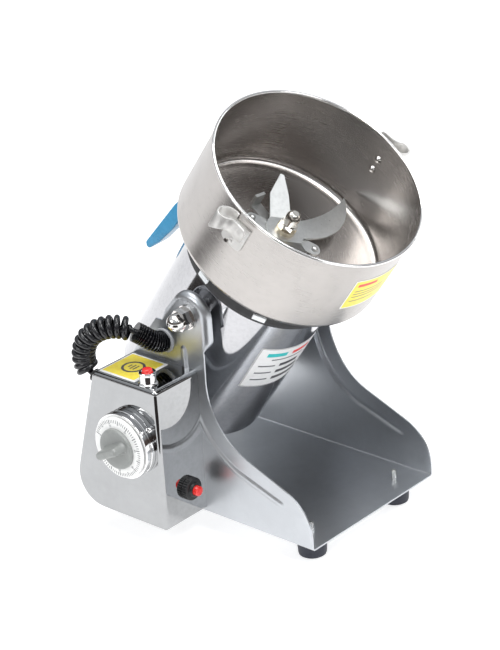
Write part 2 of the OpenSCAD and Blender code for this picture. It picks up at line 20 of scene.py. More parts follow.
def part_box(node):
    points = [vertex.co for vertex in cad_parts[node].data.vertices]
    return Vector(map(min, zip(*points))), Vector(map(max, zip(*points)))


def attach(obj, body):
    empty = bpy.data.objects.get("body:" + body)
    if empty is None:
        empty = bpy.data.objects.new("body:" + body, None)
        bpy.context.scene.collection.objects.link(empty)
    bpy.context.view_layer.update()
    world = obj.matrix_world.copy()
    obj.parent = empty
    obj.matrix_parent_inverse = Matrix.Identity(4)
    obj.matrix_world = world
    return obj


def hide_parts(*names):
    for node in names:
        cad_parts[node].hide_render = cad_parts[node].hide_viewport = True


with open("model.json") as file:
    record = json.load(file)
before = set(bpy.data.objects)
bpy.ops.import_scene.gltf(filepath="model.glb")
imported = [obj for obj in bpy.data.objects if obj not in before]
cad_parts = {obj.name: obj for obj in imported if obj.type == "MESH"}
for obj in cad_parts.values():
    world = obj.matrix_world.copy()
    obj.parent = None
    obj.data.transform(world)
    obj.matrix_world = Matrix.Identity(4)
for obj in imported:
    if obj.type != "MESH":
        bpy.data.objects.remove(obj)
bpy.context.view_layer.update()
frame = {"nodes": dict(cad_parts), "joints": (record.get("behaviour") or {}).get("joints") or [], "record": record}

LOG = logging.getLogger("grinder")
MM = 0.001
SEAT = 0.02  # the gap, in millimetres, that keeps the faces of two pieces apart
FOIL_THICK = 0.2  # thickness of a foil, in millimetres
INK_THICK = 0.05  # thickness of the ink on it
Point = tuple[float, float, float]
Flat = tuple[float, float]
Socket, Tree = bpy.types.NodeSocket, bpy.types.NodeTree
Material, Object = bpy.types.Material, bpy.types.Object
Colour = Point


class Body(Enum):
    """The moving groups that a piece can ride on."""

    BASE = "base"
    GRINDER = "grinder"
    ROTOR = "rotor"
    KNOB = "timer_knob"
    POWER = "power_button"
    RESET = "reset_button"


class Grain(Enum):
    """How a metal surface was worked."""

    POLISHED = "polished"
    ROLLED = "rolled"
    TURNED = "turned"
    CAST = "cast"


# ---------------------------------------------------------------- geometry


@dataclass
class Shape:
    """Vertices in millimetres, faces, and the finish number of each face."""

    verts: list[Vector] = field(default_factory=list)
    faces: list[tuple[int, ...]] = field(default_factory=list)
    tags: list[int] = field(default_factory=list)

    def add(self, other: "Shape", place: Matrix = Matrix.Identity(4),
            tag: Optional[int] = None) -> "Shape":
        """Append another shape.

        Args:
            other: the shape to append.
            place: where it goes, in millimetres.
            tag: a finish number for all its faces, or None to keep its own.

        Returns:
            This shape, so that calls chain.
        """
        base = len(self.verts)
        self.verts += [place @ v for v in other.verts]
        self.faces += [tuple(base + i for i in f) for f in other.faces]
        self.tags += [t if tag is None else tag for t in other.tags]
        return self


def loft(rings: Sequence[Sequence[Vector]], capped: bool = True, closed: bool = True) -> Shape:
    """Skin a row of rings that have the same number of points.

    Args:
        rings: the rings, in order.
        capped: close both ends with a flat face.
        closed: join each ring's last point to its first.

    Returns:
        The skinned shape.
    """
    n = len(rings[0])
    shape = Shape([Vector(p) for ring in rings for p in ring])
    last = n if closed else n - 1
    for i in range(len(rings) - 1):
        for j in range(last):
            k = (j + 1) % n
            shape.faces.append((i * n + j, i * n + k, (i + 1) * n + k, (i + 1) * n + j))
    if capped:
        shape.faces.append(tuple(range(n - 1, -1, -1)))
        shape.faces.append(tuple((len(rings) - 1) * n + j for j in range(n)))
    shape.tags = [0] * len(shape.faces)
    return shape


def ease(f: float) -> float:
    """A smooth step from 0 to 1, never quite 0."""
    f = max(0.02, min(1.0, f))
    return f * f * (3 - 2 * f)


def lathe(profile: Sequence[Flat], steps: int = 96, closed: bool = True, turn: float = 360.0,
          start: float = 0.0, flute: Callable[[float, float], float] = lambda angle, z: 0.0) -> Shape:
    """Turn a profile of (radius, height) points about the z axis.

    Args:
        profile: the profile's points.
        steps: segments round the axis.
        closed: the profile's last point joins its first.
        turn: degrees turned through; below 360 the ends are capped.
        start: the first angle, in degrees.
        flute: millimetres added to the radius at an angle and height.

    Returns:
        The turned shape.
    """
    full = turn >= 360
    count = steps if full else steps + 1
    rings = []
    for i in range(count):
        t = radians(start + turn * i / steps)
        rings.append([Vector(((r + (flute(t, z) if r > 1e-6 else 0)) * cos(t),
                              (r + (flute(t, z) if r > 1e-6 else 0)) * sin(t), z)) for r, z in profile])
    if full:
        rings.append(rings[0])
    return loft(rings, capped=closed and not full, closed=closed)


def inset(loop: Sequence[Flat], by: float) -> list[Flat]:
    """Move a closed outline's points inward.

    Args:
        loop: the outline, in either direction.
        by: how far.

    Returns:
        The smaller outline.
    """
    n = len(loop)
    area = sum(loop[i][0] * loop[(i + 1) % n][1] - loop[(i + 1) % n][0] * loop[i][1] for i in range(n))
    side = 1.0 if area > 0 else -1.0
    out = []
    for i in range(n):
        a, b, c = Vector(loop[i - 1]), Vector(loop[i]), Vector(loop[(i + 1) % n])
        u, v = (b - a).normalized(), (c - b).normalized()
        m = Vector((-u.y, u.x)) + Vector((-v.y, v.x))
        m = m.normalized() if m.length > 1e-6 else Vector((-u.y, u.x))
        grow = 1 / max(0.5, m.dot(Vector((-u.y, u.x))))
        p = b + m * (side * by * grow)
        out.append((p.x, p.y))
    return out


def rounded(corners: Sequence[Point], steps: int = 8) -> list[Flat]:
    """An outline from corners given as (x, y, radius).

    Args:
        corners: the sharp corners and their radii.
        steps: segments to an arc.

    Returns:
        The outline's points.
    """
    out: list[Flat] = []
    n = len(corners)
    for i in range(n):
        a, b, c = (Vector(corners[(i + k) % n][:2]) for k in (-1, 0, 1))
        r = corners[i][2]
        if r <= 0:
            out.append((b.x, b.y))
            continue
        u, v = (a - b).normalized(), (c - b).normalized()
        half = acos(max(-1.0, min(1.0, u.dot(v)))) / 2
        centre = b + (u + v).normalized() * (r / sin(half))
        p, q = b + u * (r / tan(half)) - centre, b + v * (r / tan(half)) - centre
        t0 = atan2(p.y, p.x)
        d = (atan2(q.y, q.x) - t0 + pi) % (2 * pi) - pi
        out += [(centre.x + r * cos(t0 + d * k / steps), centre.y + r * sin(t0 + d * k / steps))
                for k in range(steps + 1)]
    return out


def box_loop(x0: float, y0: float, x1: float, y1: float, r: float, steps: int) -> list[Flat]:
    """A rectangle's outline with rounded corners."""
    return rounded([(x0, y0, r), (x1, y0, r), (x1, y1, r), (x0, y1, r)], steps)


def slab(loop: Sequence[Flat], z0: float, z1: float, r0: float = 0.0, r1: float = 0.0,
         steps: int = 4) -> Shape:
    """Extrude an outline along z, with its rims rounded.

    Args:
        loop: the outline.
        z0: the first end.
        z1: the other end.
        r0: rounding of the first rim.
        r1: rounding of the other rim.
        steps: segments to a rounding.

    Returns:
        The closed shape.
    """
    levels = []
    for k in range(steps + 1 if r0 else 1):
        t = pi / 2 * k / steps
        levels.append((z0 + r0 * (1 - cos(t)), r0 * (1 - sin(t))))
    for k in range(steps, -1, -1) if r1 else [0]:
        t = pi / 2 * k / steps
        levels.append((z1 - r1 * (1 - cos(t)), r1 * (1 - sin(t)) if r1 else 0.0))
    return loft([[Vector((x, y, z)) for x, y in (inset(loop, d) if d > 1e-6 else loop)] for z,
                 d in levels])


def smooth_route(points: Sequence[Sequence[float]], per_span: int = 12) -> list[Vector]:
    """Catmull-Rom points along a route.

    Args:
        points: the route's own points.
        per_span: points between two of them.

    Returns:
        The finer route.
    """
    p = [Vector(q) for q in points]
    out = []
    for i in range(len(p) - 1):
        a, b, c, d = p[max(i - 1, 0)], p[i], p[i + 1], p[min(i + 2, len(p) - 1)]
        for k in range(per_span):
            f = k / per_span
            bend, twist = 2 * a - 5 * b + 4 * c - d, 3 * b - a - 3 * c + d
            out.append(0.5 * (2 * b + (c - a) * f + bend * f * f + twist * f ** 3))
    return out + [p[-1]]


def carried_frames(route: Sequence[Vector]) -> list[tuple[Vector, Vector, Vector]]:
    """Tangent and two normals at each point of a route, carried along it without twist."""
    n = len(route)
    tangents = [(route[min(i + 1, n - 1)] - route[max(i - 1, 0)]).normalized() for i in range(n)]
    side = tangents[0].cross(Vector((0.3, 1.0, 0.2))).normalized()
    out = []
    for t in tangents:
        side = (side - t * side.dot(t)).normalized()
        out.append((t, side, t.cross(side)))
    return out


def hose(route: Sequence[Vector], radii: Sequence[float], sides: int = 32) -> Shape:
    """A round skin along a route, with its own radius at each point."""
    rings = []
    for p, r, (_, side, over) in zip(route, radii, carried_frames(route)):
        turns = [2 * pi * j / sides for j in range(sides)]
        rings.append([p + r * (cos(t) * side + sin(t) * over) for t in turns])
    return loft(rings)


def looking(origin: Sequence[float], z_axis: Sequence[float], x_axis: Sequence[float]) -> Matrix:
    """A placement with its z along z_axis and its x as near x_axis as it can be."""
    z = Vector(z_axis).normalized()
    x = (Vector(x_axis) - z * Vector(x_axis).dot(z)).normalized()
    y = z.cross(x)
    m = Matrix((x, y, z)).transposed().to_4x4()
    m.translation = Vector(origin)
    return m


@dataclass(frozen=True)
class Tilt:
    """Where the swinging half's own axes lie in the model."""

    pivot_z: float
    lean: float

    def place(self) -> Matrix:
        """The placement, in millimetres."""
        return Matrix.Translation((0, 0, self.pivot_z)) @ Matrix.Rotation(radians(self.lean), 4, "X")


# ---------------------------------------------------------------- shader effects


class NodeSheet:
    """A shader node tree with short ways to add and join nodes."""

    def __init__(self, tree: Tree) -> None:
        """Wrap a node tree."""
        self.tree = tree

    def add(self, kind: str, values: Optional[dict[str, object]] = None,
            **settings: object) -> bpy.types.Node:
        """Add a node.

        Args:
            kind: the node's type name, without its ShaderNode prefix.
            values: input names and their constants or the sockets that feed them.
            **settings: properties of the node itself.

        Returns:
            The new node.
        """
        node = self.tree.nodes.new(kind if kind.startswith("Node") else "ShaderNode" + kind)
        for name, value in settings.items():
            setattr(node, name, value)
        self.feed(node, values or {})
        return node

    def feed(self, node: bpy.types.Node, values: dict[str, object]) -> None:
        """Set a node's inputs, by name or number, to constants or to the sockets that feed them."""
        for name, value in values.items():
            socket = node.inputs[int(name)] if name.isdigit() else node.inputs[name]
            if isinstance(value, Socket):
                self.tree.links.new(value, socket)
            else:
                socket.default_value = value

    def math(self, operation: str, a: object, b: object = 0.0, clamp: bool = False) -> Socket:
        """One math node's output."""
        return self.add("Math", {"0": a, "1": b}, operation=operation, use_clamp=clamp).outputs[0]

    def times(self, a: object, b: object, clamp: bool = False) -> Socket:
        """A product."""
        return self.math("MULTIPLY", a, b, clamp)

    def plus(self, a: object, b: object) -> Socket:
        """A sum."""
        return self.math("ADD", a, b)

    def band(self, value: object, low: float, high: float, to_low: float = 0.0,
             to_high: float = 1.0) -> Socket:
        """A value carried smoothly from one range to another."""
        return self.add("MapRange", {"Value": value, "From Min": low, "From Max": high,
                                     "To Min": to_low, "To Max": to_high},
                        interpolation_type="SMOOTHSTEP").outputs["Result"]

    def mix(self, fac: object, a: object, b: object) -> Socket:
        """A colour between two others."""
        return self.add("Mix", {"0": fac, "6": a, "7": b}, data_type="RGBA").outputs[2]

    def effect(self, tree: Tree, values: dict[str, object]) -> Socket:
        """One effect group's output, with its own input values."""
        return self.add("Group", values, node_tree=tree).outputs[0]

    def noise(self, at: object, scale: object, detail: float, rough: float, **more: float) -> Socket:
        """A noise texture's value."""
        values = {"Vector": at, "Scale": scale, "Detail": detail, "Roughness": rough, **more}
        return self.add("TexNoise", values).outputs["Fac"]


class Effects:
    """The shader node groups that the finishes share."""

    def __init__(self) -> None:
        """Build each group once."""
        self.streaks = self._streaks()
        self.turned = self._turned()
        self.smudges = self._smudges()
        self.dust = self._dust()
        self.pores = self._pores()
        self.wear = self._wear()

    @staticmethod
    def _group(name: str, setting: str, default: object, result: str
               ) -> tuple[NodeSheet, Socket, Socket, Socket]:
        """Start a node group with a vector, one setting and one result.

        Args:
            name: the group's name.
            setting: the name of its own input.
            default: that input's default, a number or a vector.
            result: the name of its output, a number.

        Returns:
            Its sheet, the vector and setting sockets to read, and the result socket to feed.
        """
        tree = bpy.data.node_groups.new(name, "ShaderNodeTree")
        tree.interface.new_socket("Vector", in_out="INPUT", socket_type="NodeSocketVector")
        kind = "NodeSocketVector" if isinstance(default, tuple) else "NodeSocketFloat"
        tree.interface.new_socket(setting, in_out="INPUT", socket_type=kind).default_value = default
        tree.interface.new_socket(result, in_out="OUTPUT", socket_type="NodeSocketFloat")
        s = NodeSheet(tree)
        gin, gout = s.add("NodeGroupInput"), s.add("NodeGroupOutput")
        return s, gin.outputs["Vector"], gin.outputs[setting], gout.inputs[result]

    def _streaks(self) -> Tree:
        """Straight brushing: fine noise drawn out along one axis."""
        s, at, across, result = self._group("straight brushing", "Across", (900, 30, 900), "Streak")
        v = s.add("VectorMath", {"0": at, "1": across}, operation="MULTIPLY").outputs[0]
        s.tree.links.new(s.noise(v, 1.0, 3.0, 0.6), result)
        return s.tree

    def _turned(self) -> Tree:
        """Turned brushing: fine rings round the z axis, broken up a little along the way."""
        s, at, scale, result = self._group("turned brushing", "Scale", 1400.0, "Streak")
        x, y, z = s.add("SeparateXYZ", {"Vector": at}).outputs
        radius = s.math("SQRT", s.plus(s.times(x, x), s.times(y, y)))
        angle = s.math("ARCTAN2", y, x)
        v = s.add("CombineXYZ", {"X": s.times(radius, scale), "Y": s.times(angle, 2.5),
                                 "Z": s.times(z, scale)}).outputs[0]
        s.tree.links.new(s.noise(v, 1.0, 3.0, 0.65), result)
        return s.tree

    def _smudges(self) -> Tree:
        """Handling marks: soft clouds with a few sharper prints in them."""
        s, at, scale, result = self._group("handling marks", "Scale", 18.0, "Mask")
        broad = s.noise(at, scale, 5.0, 0.62, Distortion=0.6)
        fine = s.noise(at, s.times(scale, 7.0), 4.0, 0.7)
        both = s.plus(s.times(broad, 0.7), s.times(fine, 0.3))
        s.tree.links.new(s.band(both, 0.38, 0.66), result)
        return s.tree

    def _dust(self) -> Tree:
        """Settled flour dust: a broken film on faces that look up."""
        s, at, amount, result = self._group("settled dust", "Amount", 0.1, "Mask")
        up = s.add("SeparateXYZ", {"Vector": s.add("NewGeometry").outputs["Normal"]}).outputs["Z"]
        film = s.times(s.band(up, 0.35, 0.95), s.band(s.noise(at, 60.0, 6.0, 0.75), 0.42, 0.7))
        s.tree.links.new(s.times(film, amount, clamp=True), result)
        return s.tree

    def _pores(self) -> Tree:
        """Moulded or cast skin: a fine even pebble."""
        s, at, scale, result = self._group("moulded skin", "Scale", 1200.0, "Height")
        cells = s.add("TexVoronoi", {"Vector": at, "Scale": scale}).outputs["Distance"]
        cloud = s.noise(at, s.times(scale, 0.4), 3.0, 0.5)
        s.tree.links.new(s.plus(s.times(cells, 0.6), s.times(cloud, 0.4)), result)
        return s.tree

    def _wear(self) -> Tree:
        """Edge wear: rubbed places on convex edges, broken by noise."""
        s, at, width, result = self._group("edge wear", "Width", 0.5, "Mask")
        edge = s.band(s.add("NewGeometry").outputs["Pointiness"], 0.505, 0.56)
        broken = s.band(s.noise(at, 220.0, 5.0, 0.7), 0.35, 0.6)
        s.tree.links.new(s.times(s.times(edge, width), broken, clamp=True), result)
        return s.tree


def start_material(name: str, values: dict[str, object]
                   ) -> tuple[Material, NodeSheet, bpy.types.Node, Socket]:
    """A material with its Principled shader and object coordinates.

    Args:
        name: the material's name.
        values: the shader's constants.

    Returns:
        The material, its sheet, the Principled node and the coordinate socket.
    """
    mat = bpy.data.materials.new(name)
    mat.use_nodes = True
    mat.node_tree.nodes.clear()
    s = NodeSheet(mat.node_tree)
    shader = s.add("BsdfPrincipled", values)
    s.add("OutputMaterial", {"Surface": shader.outputs[0]})
    return mat, s, shader, s.add("TexCoord").outputs["Object"]


@dataclass(frozen=True)
class Metal:
    """A metal finish.

    Attributes:
        name: what a maker calls it.
        colour: its reflectance.
        rough: its roughness where it is clean.
        grain: how it was worked.
        depth: how deep the grain is, in millimetres.
        across: grain frequencies along x, y, z; only the first counts unless it was rolled.
        marks: how much handling marks change the roughness.
        aniso: how far highlights stretch across a turned grain.
    """

    name: str
    colour: Colour
    rough: float
    grain: Grain = Grain.POLISHED
    depth: float = 0.004
    across: Point = (1500.0, 40.0, 1500.0)
    marks: float = 0.08
    aniso: float = 0.0

    def material(self, fx: Effects) -> Material:
        """Build the node material."""
        mat, s, shader, at = start_material(self.name, {"Metallic": 1.0, "Anisotropic": self.aniso})
        shade = s.effect(fx.smudges, {"Vector": at, "Scale": 16.0})
        rough = s.plus(s.times(shade, self.marks), self.rough)
        tone = tuple(c * 0.93 for c in self.colour) + (1.0,)
        colour = s.mix(shade, self.colour + (1.0,), tone)
        wear = s.effect(fx.wear, {"Vector": at, "Width": 0.6})
        colour = s.mix(wear, colour, tuple(min(1.0, c * 1.12) for c in self.colour) + (1.0,))
        height: Optional[Socket] = None
        if self.grain is Grain.ROLLED:
            height = s.effect(fx.streaks, {"Vector": at, "Across": self.across})
        elif self.grain is Grain.TURNED:
            height = s.effect(fx.turned, {"Vector": at, "Scale": self.across[0]})
        elif self.grain is Grain.CAST:
            height = s.effect(fx.pores, {"Vector": at, "Scale": self.across[0]})
        if height is not None:
            rough = s.plus(rough, s.times(s.math("SUBTRACT", height, 0.5), self.rough * 0.6))
            bump = s.add("Bump", {"Height": height, "Strength": 1.0, "Distance": self.depth * MM})
            s.feed(shader, {"Normal": bump.outputs[0]})
        if self.aniso:
            s.feed(shader, {"Tangent": s.add("Tangent", direction_type="RADIAL", axis="Z").outputs[0]})
        s.feed(shader, {"Base Color": colour, "Roughness": s.math("MAXIMUM", rough, 0.02)})
        return mat


@dataclass(frozen=True)
class Moulded:
    """A plastic or rubber finish.

    Attributes:
        name: what a maker calls it.
        colour: its colour.
        rough: its roughness where it is clean.
        pebble: the height of its moulded skin, in millimetres.
        cells: how fine that skin is.
        marks: how much handling marks change the roughness.
        dust: how much settled dust shows.
        coat: weight of a glossy coat.
    """

    name: str
    colour: Colour
    rough: float
    pebble: float = 0.01
    cells: float = 1500.0
    marks: float = 0.1
    dust: float = 0.05
    coat: float = 0.0

    def material(self, fx: Effects) -> Material:
        """Build the node material."""
        coat = {"Coat Weight": self.coat, "Coat Roughness": 0.08}
        mat, s, shader, at = start_material(self.name, coat)
        shade = s.effect(fx.smudges, {"Vector": at, "Scale": 30.0})
        light = tuple(min(1.0, c * 1.1 + 0.006) for c in self.colour) + (1.0,)
        colour = s.mix(shade, self.colour + (1.0,), light)
        wear = s.effect(fx.wear, {"Vector": at, "Width": 0.35})
        colour = s.mix(wear, colour, tuple(min(1.0, c * 1.35 + 0.03) for c in self.colour) + (1.0,))
        film = s.effect(fx.dust, {"Vector": at, "Amount": self.dust})
        colour = s.mix(film, colour, (0.6, 0.58, 0.54, 1.0))
        rough = s.plus(s.times(shade, self.marks), self.rough)
        height = s.effect(fx.pores, {"Vector": at, "Scale": self.cells})
        bump = s.add("Bump", {"Height": height, "Strength": 1.0, "Distance": self.pebble * MM})
        s.feed(shader, {"Normal": bump.outputs[0], "Base Color": colour, "Roughness": rough})
        return mat


Finish = Union[Metal, Moulded]


def round_edges(obj: Object, width: float, above: float) -> None:
    """Round an object's edges.

    Args:
        obj: the object.
        width: how much, in millimetres.
        above: only edges sharper than this many degrees.
    """
    mod = obj.modifiers.new("edges", "BEVEL")
    mod.width, mod.segments, mod.limit_method = width * MM, 2, "ANGLE"
    mod.angle_limit = radians(above)


SHEET = Metal("satin rolled sheet", (0.56, 0.58, 0.605), 0.33, Grain.ROLLED, 0.003,
              (1700.0, 30.0, 1700.0), 0.025)
COVER = Metal("mirror chrome cover", (0.41, 0.415, 0.42), 0.025, marks=0.008)
CHROME = Metal("bright chrome", (0.80, 0.80, 0.80), 0.035, marks=0.02)
TUBE = Metal("mirror tube", (0.52, 0.52, 0.535), 0.07, marks=0.03)
BOWL = Metal("spun bowl", (0.52, 0.495, 0.475), 0.24, Grain.TURNED, 0.0015, (1500.0, 0.0, 0.0),
             marks=0.03, aniso=0.7)
# Same steel as BOWL: the lower roughness is real polish on the rolled bead, the brighter colour is a painted
# highlight along the rim.
RIM_PAINTED_HIGHLIGHT = Metal("polished rim with painted highlight", (0.84, 0.83, 0.82), 0.10, marks=0.05)
HOOK = Metal("pressed hook steel", (0.72, 0.71, 0.69), 0.46, Grain.ROLLED, 0.002,
             (900.0, 60.0, 900.0), 0.04)
BLADE = Metal("galvanised blade", (0.60, 0.61, 0.605), 0.32, Grain.CAST, 0.004, (450.0, 0.0, 0.0), 0.10)
NUT = Metal("polished hub nut", (0.72, 0.69, 0.64), 0.07, marks=0.04)
PLATED = Metal("nickel plate", (0.78, 0.76, 0.74), 0.05, marks=0.03)
ZINC = Metal("zinc plate", (0.74, 0.74, 0.72), 0.24, Grain.CAST, 0.004, (700.0, 0.0, 0.0), 0.1)
BRASS = Metal("worn brass", (0.66, 0.58, 0.44), 0.18, marks=0.12)
COPPER = Metal("enamelled copper", (0.72, 0.36, 0.18), 0.30, Grain.TURNED, 0.02, (900.0, 0.0, 0.0), 0.1)
LAMINATION = Metal("stacked laminations", (0.24, 0.25, 0.27), 0.42, Grain.TURNED, 0.02,
                   (1200.0, 0.0, 0.0), 0.1)
CASTING = Metal("cast aluminium", (0.60, 0.61, 0.62), 0.36, Grain.CAST, 0.03, (500.0, 0.0, 0.0), 0.1)
GREY_PAINT = Moulded("grey enamel", (0.10, 0.10, 0.11), 0.40)
BLACK = Moulded("black nylon", (0.006, 0.006, 0.007), 0.36, 0.006, dust=0.01)
SHEATH = Moulded("cord sheath", (0.003, 0.0035, 0.005), 0.20, 0.002, 1200.0,
                marks=0.06, dust=0.0, coat=0.15)
RUBBER = Moulded("foot rubber", (0.018, 0.021, 0.035), 0.48, 0.02, 900.0)
GROMMET = Moulded("grey grommet", (0.36, 0.37, 0.38), 0.42)
WHITE = Moulded("white moulding", (0.82, 0.82, 0.80), 0.28, 0.003, coat=0.2)
LUG = Moulded("pale nylon lug", (0.86, 0.89, 0.90), 0.22, 0.003, coat=0.3)
KNOB = Moulded("grey knob moulding", (0.25, 0.26, 0.25), 0.30, 0.004, coat=0.15)
RED = Moulded("red button", (0.75, 0.02, 0.015), 0.22, 0.002, coat=0.4)
BLUE = Moulded("blue handle", (0.02, 0.27, 0.50), 0.26, 0.004, coat=0.3)
IVORY = Moulded("ivory terminal", (0.62, 0.58, 0.46), 0.40)
# Near black. It is the own colour of the timer, switch and breaker bodies; on upper_bracket it is painted shade in
# the gap under the bowl collar.
DARK_AND_PAINTED_SHADE = Moulded("dark moulding and painted shade", (0.02, 0.02, 0.022), 0.42)
FOIL = Moulded("white foil", (0.86, 0.86, 0.85), 0.30, 0.002, 900.0,
              marks=0.06, dust=0.0, coat=0.3)
YELLOW = Moulded("yellow print", (0.87, 0.68, 0.05), 0.32, 0.002, 900.0,
                marks=0.06, dust=0.0, coat=0.2)
INK = Moulded("dark ink", (0.05, 0.05, 0.055), 0.36, 0.001, 900.0)
DIAL_INK = Moulded("dial ink", (0.09, 0.095, 0.10), 0.36, 0.001, 900.0)
TEAL = Moulded("turquoise ink", (0.02, 0.50, 0.50), 0.34, 0.001, 900.0)
RED_INK = Moulded("red ink", (0.72, 0.05, 0.04), 0.34, 0.001, 900.0)

NODES_BY_FINISH: tuple[tuple[Finish, str], ...] = (
    (SHEET, "stand"), (RUBBER, "rubber_feet shaft_seal"),
    (ZINC, "foot_studs cover_screws lower_bearing upper_bearing handle_screws "
     "rotor_shaft blade_spacers timer_shaft"), (COVER, "control_box_cover"),
    # upper_bracket is set near black as painted shade in the gap between the motor tube and the bowl collar.
    (DARK_AND_PAINTED_SHADE, "timer_body switch_body breaker_body upper_bracket"),
    (CHROME, "dial_bezel dial_pointer switch_bezel"),
    (BLACK, "breaker_nut cord_gland mains_gland bowl_collar"), (IVORY, "terminal_block"),
    (YELLOW, "box_label bowl_label"), (SHEATH, "cord_tail coil_cord cord_boot"),
    (GROMMET, "plate_grommet"), (TUBE, "motor_housing"), (GREY_PAINT, "housing_cap"),
    (PLATED, "pivot_bolts pivot_nuts pivot_spacers hook_rivets"),
    (LAMINATION, "motor_stator armature_core"), (COPPER, "field_windings commutator"),
    (BRASS, "brush_holders blade_collar"), (CASTING, "lower_bracket cooling_fan"), (LUG, "collar_lugs"),
    (BOWL, "bowl"), (HOOK, "lid_hook_left lid_hook_right"), (BLUE, "bowl_handle"),
    (FOIL, "rating_plate"), (BLADE, "paddle_blade blade_carrier sickle_blade pointed_blade"),
    (NUT, "blade_nut"), (WHITE, "dial_skirt"), (KNOB, "knob_grip"),
    (RED, "switch_button breaker_button"),
)


class Workshop:
    """Turns shapes into dressed pieces that ride on their bodies."""

    def __init__(self) -> None:
        """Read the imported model's pivot and material slots, and build the shared effects."""
        self.fx = Effects()
        self._made: dict[str, Material] = {}
        swing = next(j for j in frame["joints"] if j["name"] == "bowl_swing")
        self.tilt = Tilt(swing["pos_m"][2] / MM, -swing["range_deg"][0])
        self.slot_of = {s["node"]: s["material_slot"] for s in frame["record"]["subparts"]}

    def finish(self, finish: Finish) -> Material:
        """The material of a finish, built on first use."""
        if finish.name not in self._made:
            self._made[finish.name] = finish.material(self.fx)
        return self._made[finish.name]

    def piece(self, name: str, shape: Shape, body: Body, finishes: Sequence[Finish], node: str,
              place: Optional[Matrix] = None, stands: bool = True, sharp: float = 32.0,
              thick: float = 0.0, bevel: float = 0.0, weighted: bool = True) -> None:
        """Make an object from a shape.

        Args:
            name: the piece's name.
            shape: its shape, in millimetres.
            body: what it rides on.
            finishes: the finishes that its faces' numbers pick from.
            node: the imported node that it stands for, hidden when it stands.
            place: its placement, in millimetres.
            stands: it stands for that node, which is then hidden.
            sharp: edges sharper than this many degrees stay sharp.
            thick: sheet thickness to give an open surface, in millimetres.
            bevel: edge rounding, in millimetres.
            weighted: let large faces keep their own normals.
        """
        mesh = bpy.data.meshes.new(name)
        mesh.from_pydata([v * MM for v in shape.verts], [], shape.faces)
        for finish in finishes:
            mesh.materials.append(self.finish(finish))
        mesh.polygons.foreach_set("material_index", shape.tags)
        bm = bmesh.new()
        bm.from_mesh(mesh)
        bmesh.ops.remove_doubles(bm, verts=bm.verts, dist=1e-7)
        bmesh.ops.dissolve_degenerate(bm, edges=bm.edges, dist=1e-7)
        bmesh.ops.recalc_face_normals(bm, faces=bm.faces)
        bm.to_mesh(mesh)
        bm.free()
        mesh.shade_smooth()
        mesh.set_sharp_from_angle(angle=radians(sharp))
        obj = bpy.data.objects.new(name, mesh)
        bpy.context.scene.collection.objects.link(obj)
        if place is not None:
            m = place.copy()
            m.translation *= MM
            obj.matrix_world = m
        if thick:
            mod = obj.modifiers.new("sheet", "SOLIDIFY")
            mod.thickness, mod.offset, mod.use_even_offset = thick * MM, 0.0, True
        if bevel:
            round_edges(obj, bevel, 35)
        if weighted:
            obj.modifiers.new("normals", "WEIGHTED_NORMAL").keep_sharp = True
        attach(obj, body.value)
        if stands:
            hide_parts(node)
        LOG.info("%s on %s, %d faces", name, body.value, len(mesh.polygons))

    def dress_frame(self) -> None:
        """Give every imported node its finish, and round the edges of those that show."""
        by_node = {node: finish for finish, nodes in NODES_BY_FINISH for node in nodes.split()}
        for name, obj in frame["nodes"].items():
            obj.data.materials.clear()
            obj.data.materials.append(self.finish(by_node[name]))
        soft = {"pivot_nuts": 0.5, "blade_nut": 0.4, "foot_studs": 0.3, "cover_screws": 0.4,
                "sickle_blade": 0.4,
                "pointed_blade": 0.4, "paddle_blade": 0.4, "blade_carrier": 0.4, "blade_collar": 0.3,
                "upper_bracket": 0.5, "pivot_spacers": 0.4, "mains_gland": 0.4, "cord_gland": 0.4}
        for name, width in soft.items():
            round_edges(frame["nodes"][name], width, 40)
            LOG.info("%s kept, edges rounded %.1f mm", name, width)


# ---------------------------------------------------------------- sub-assemblies


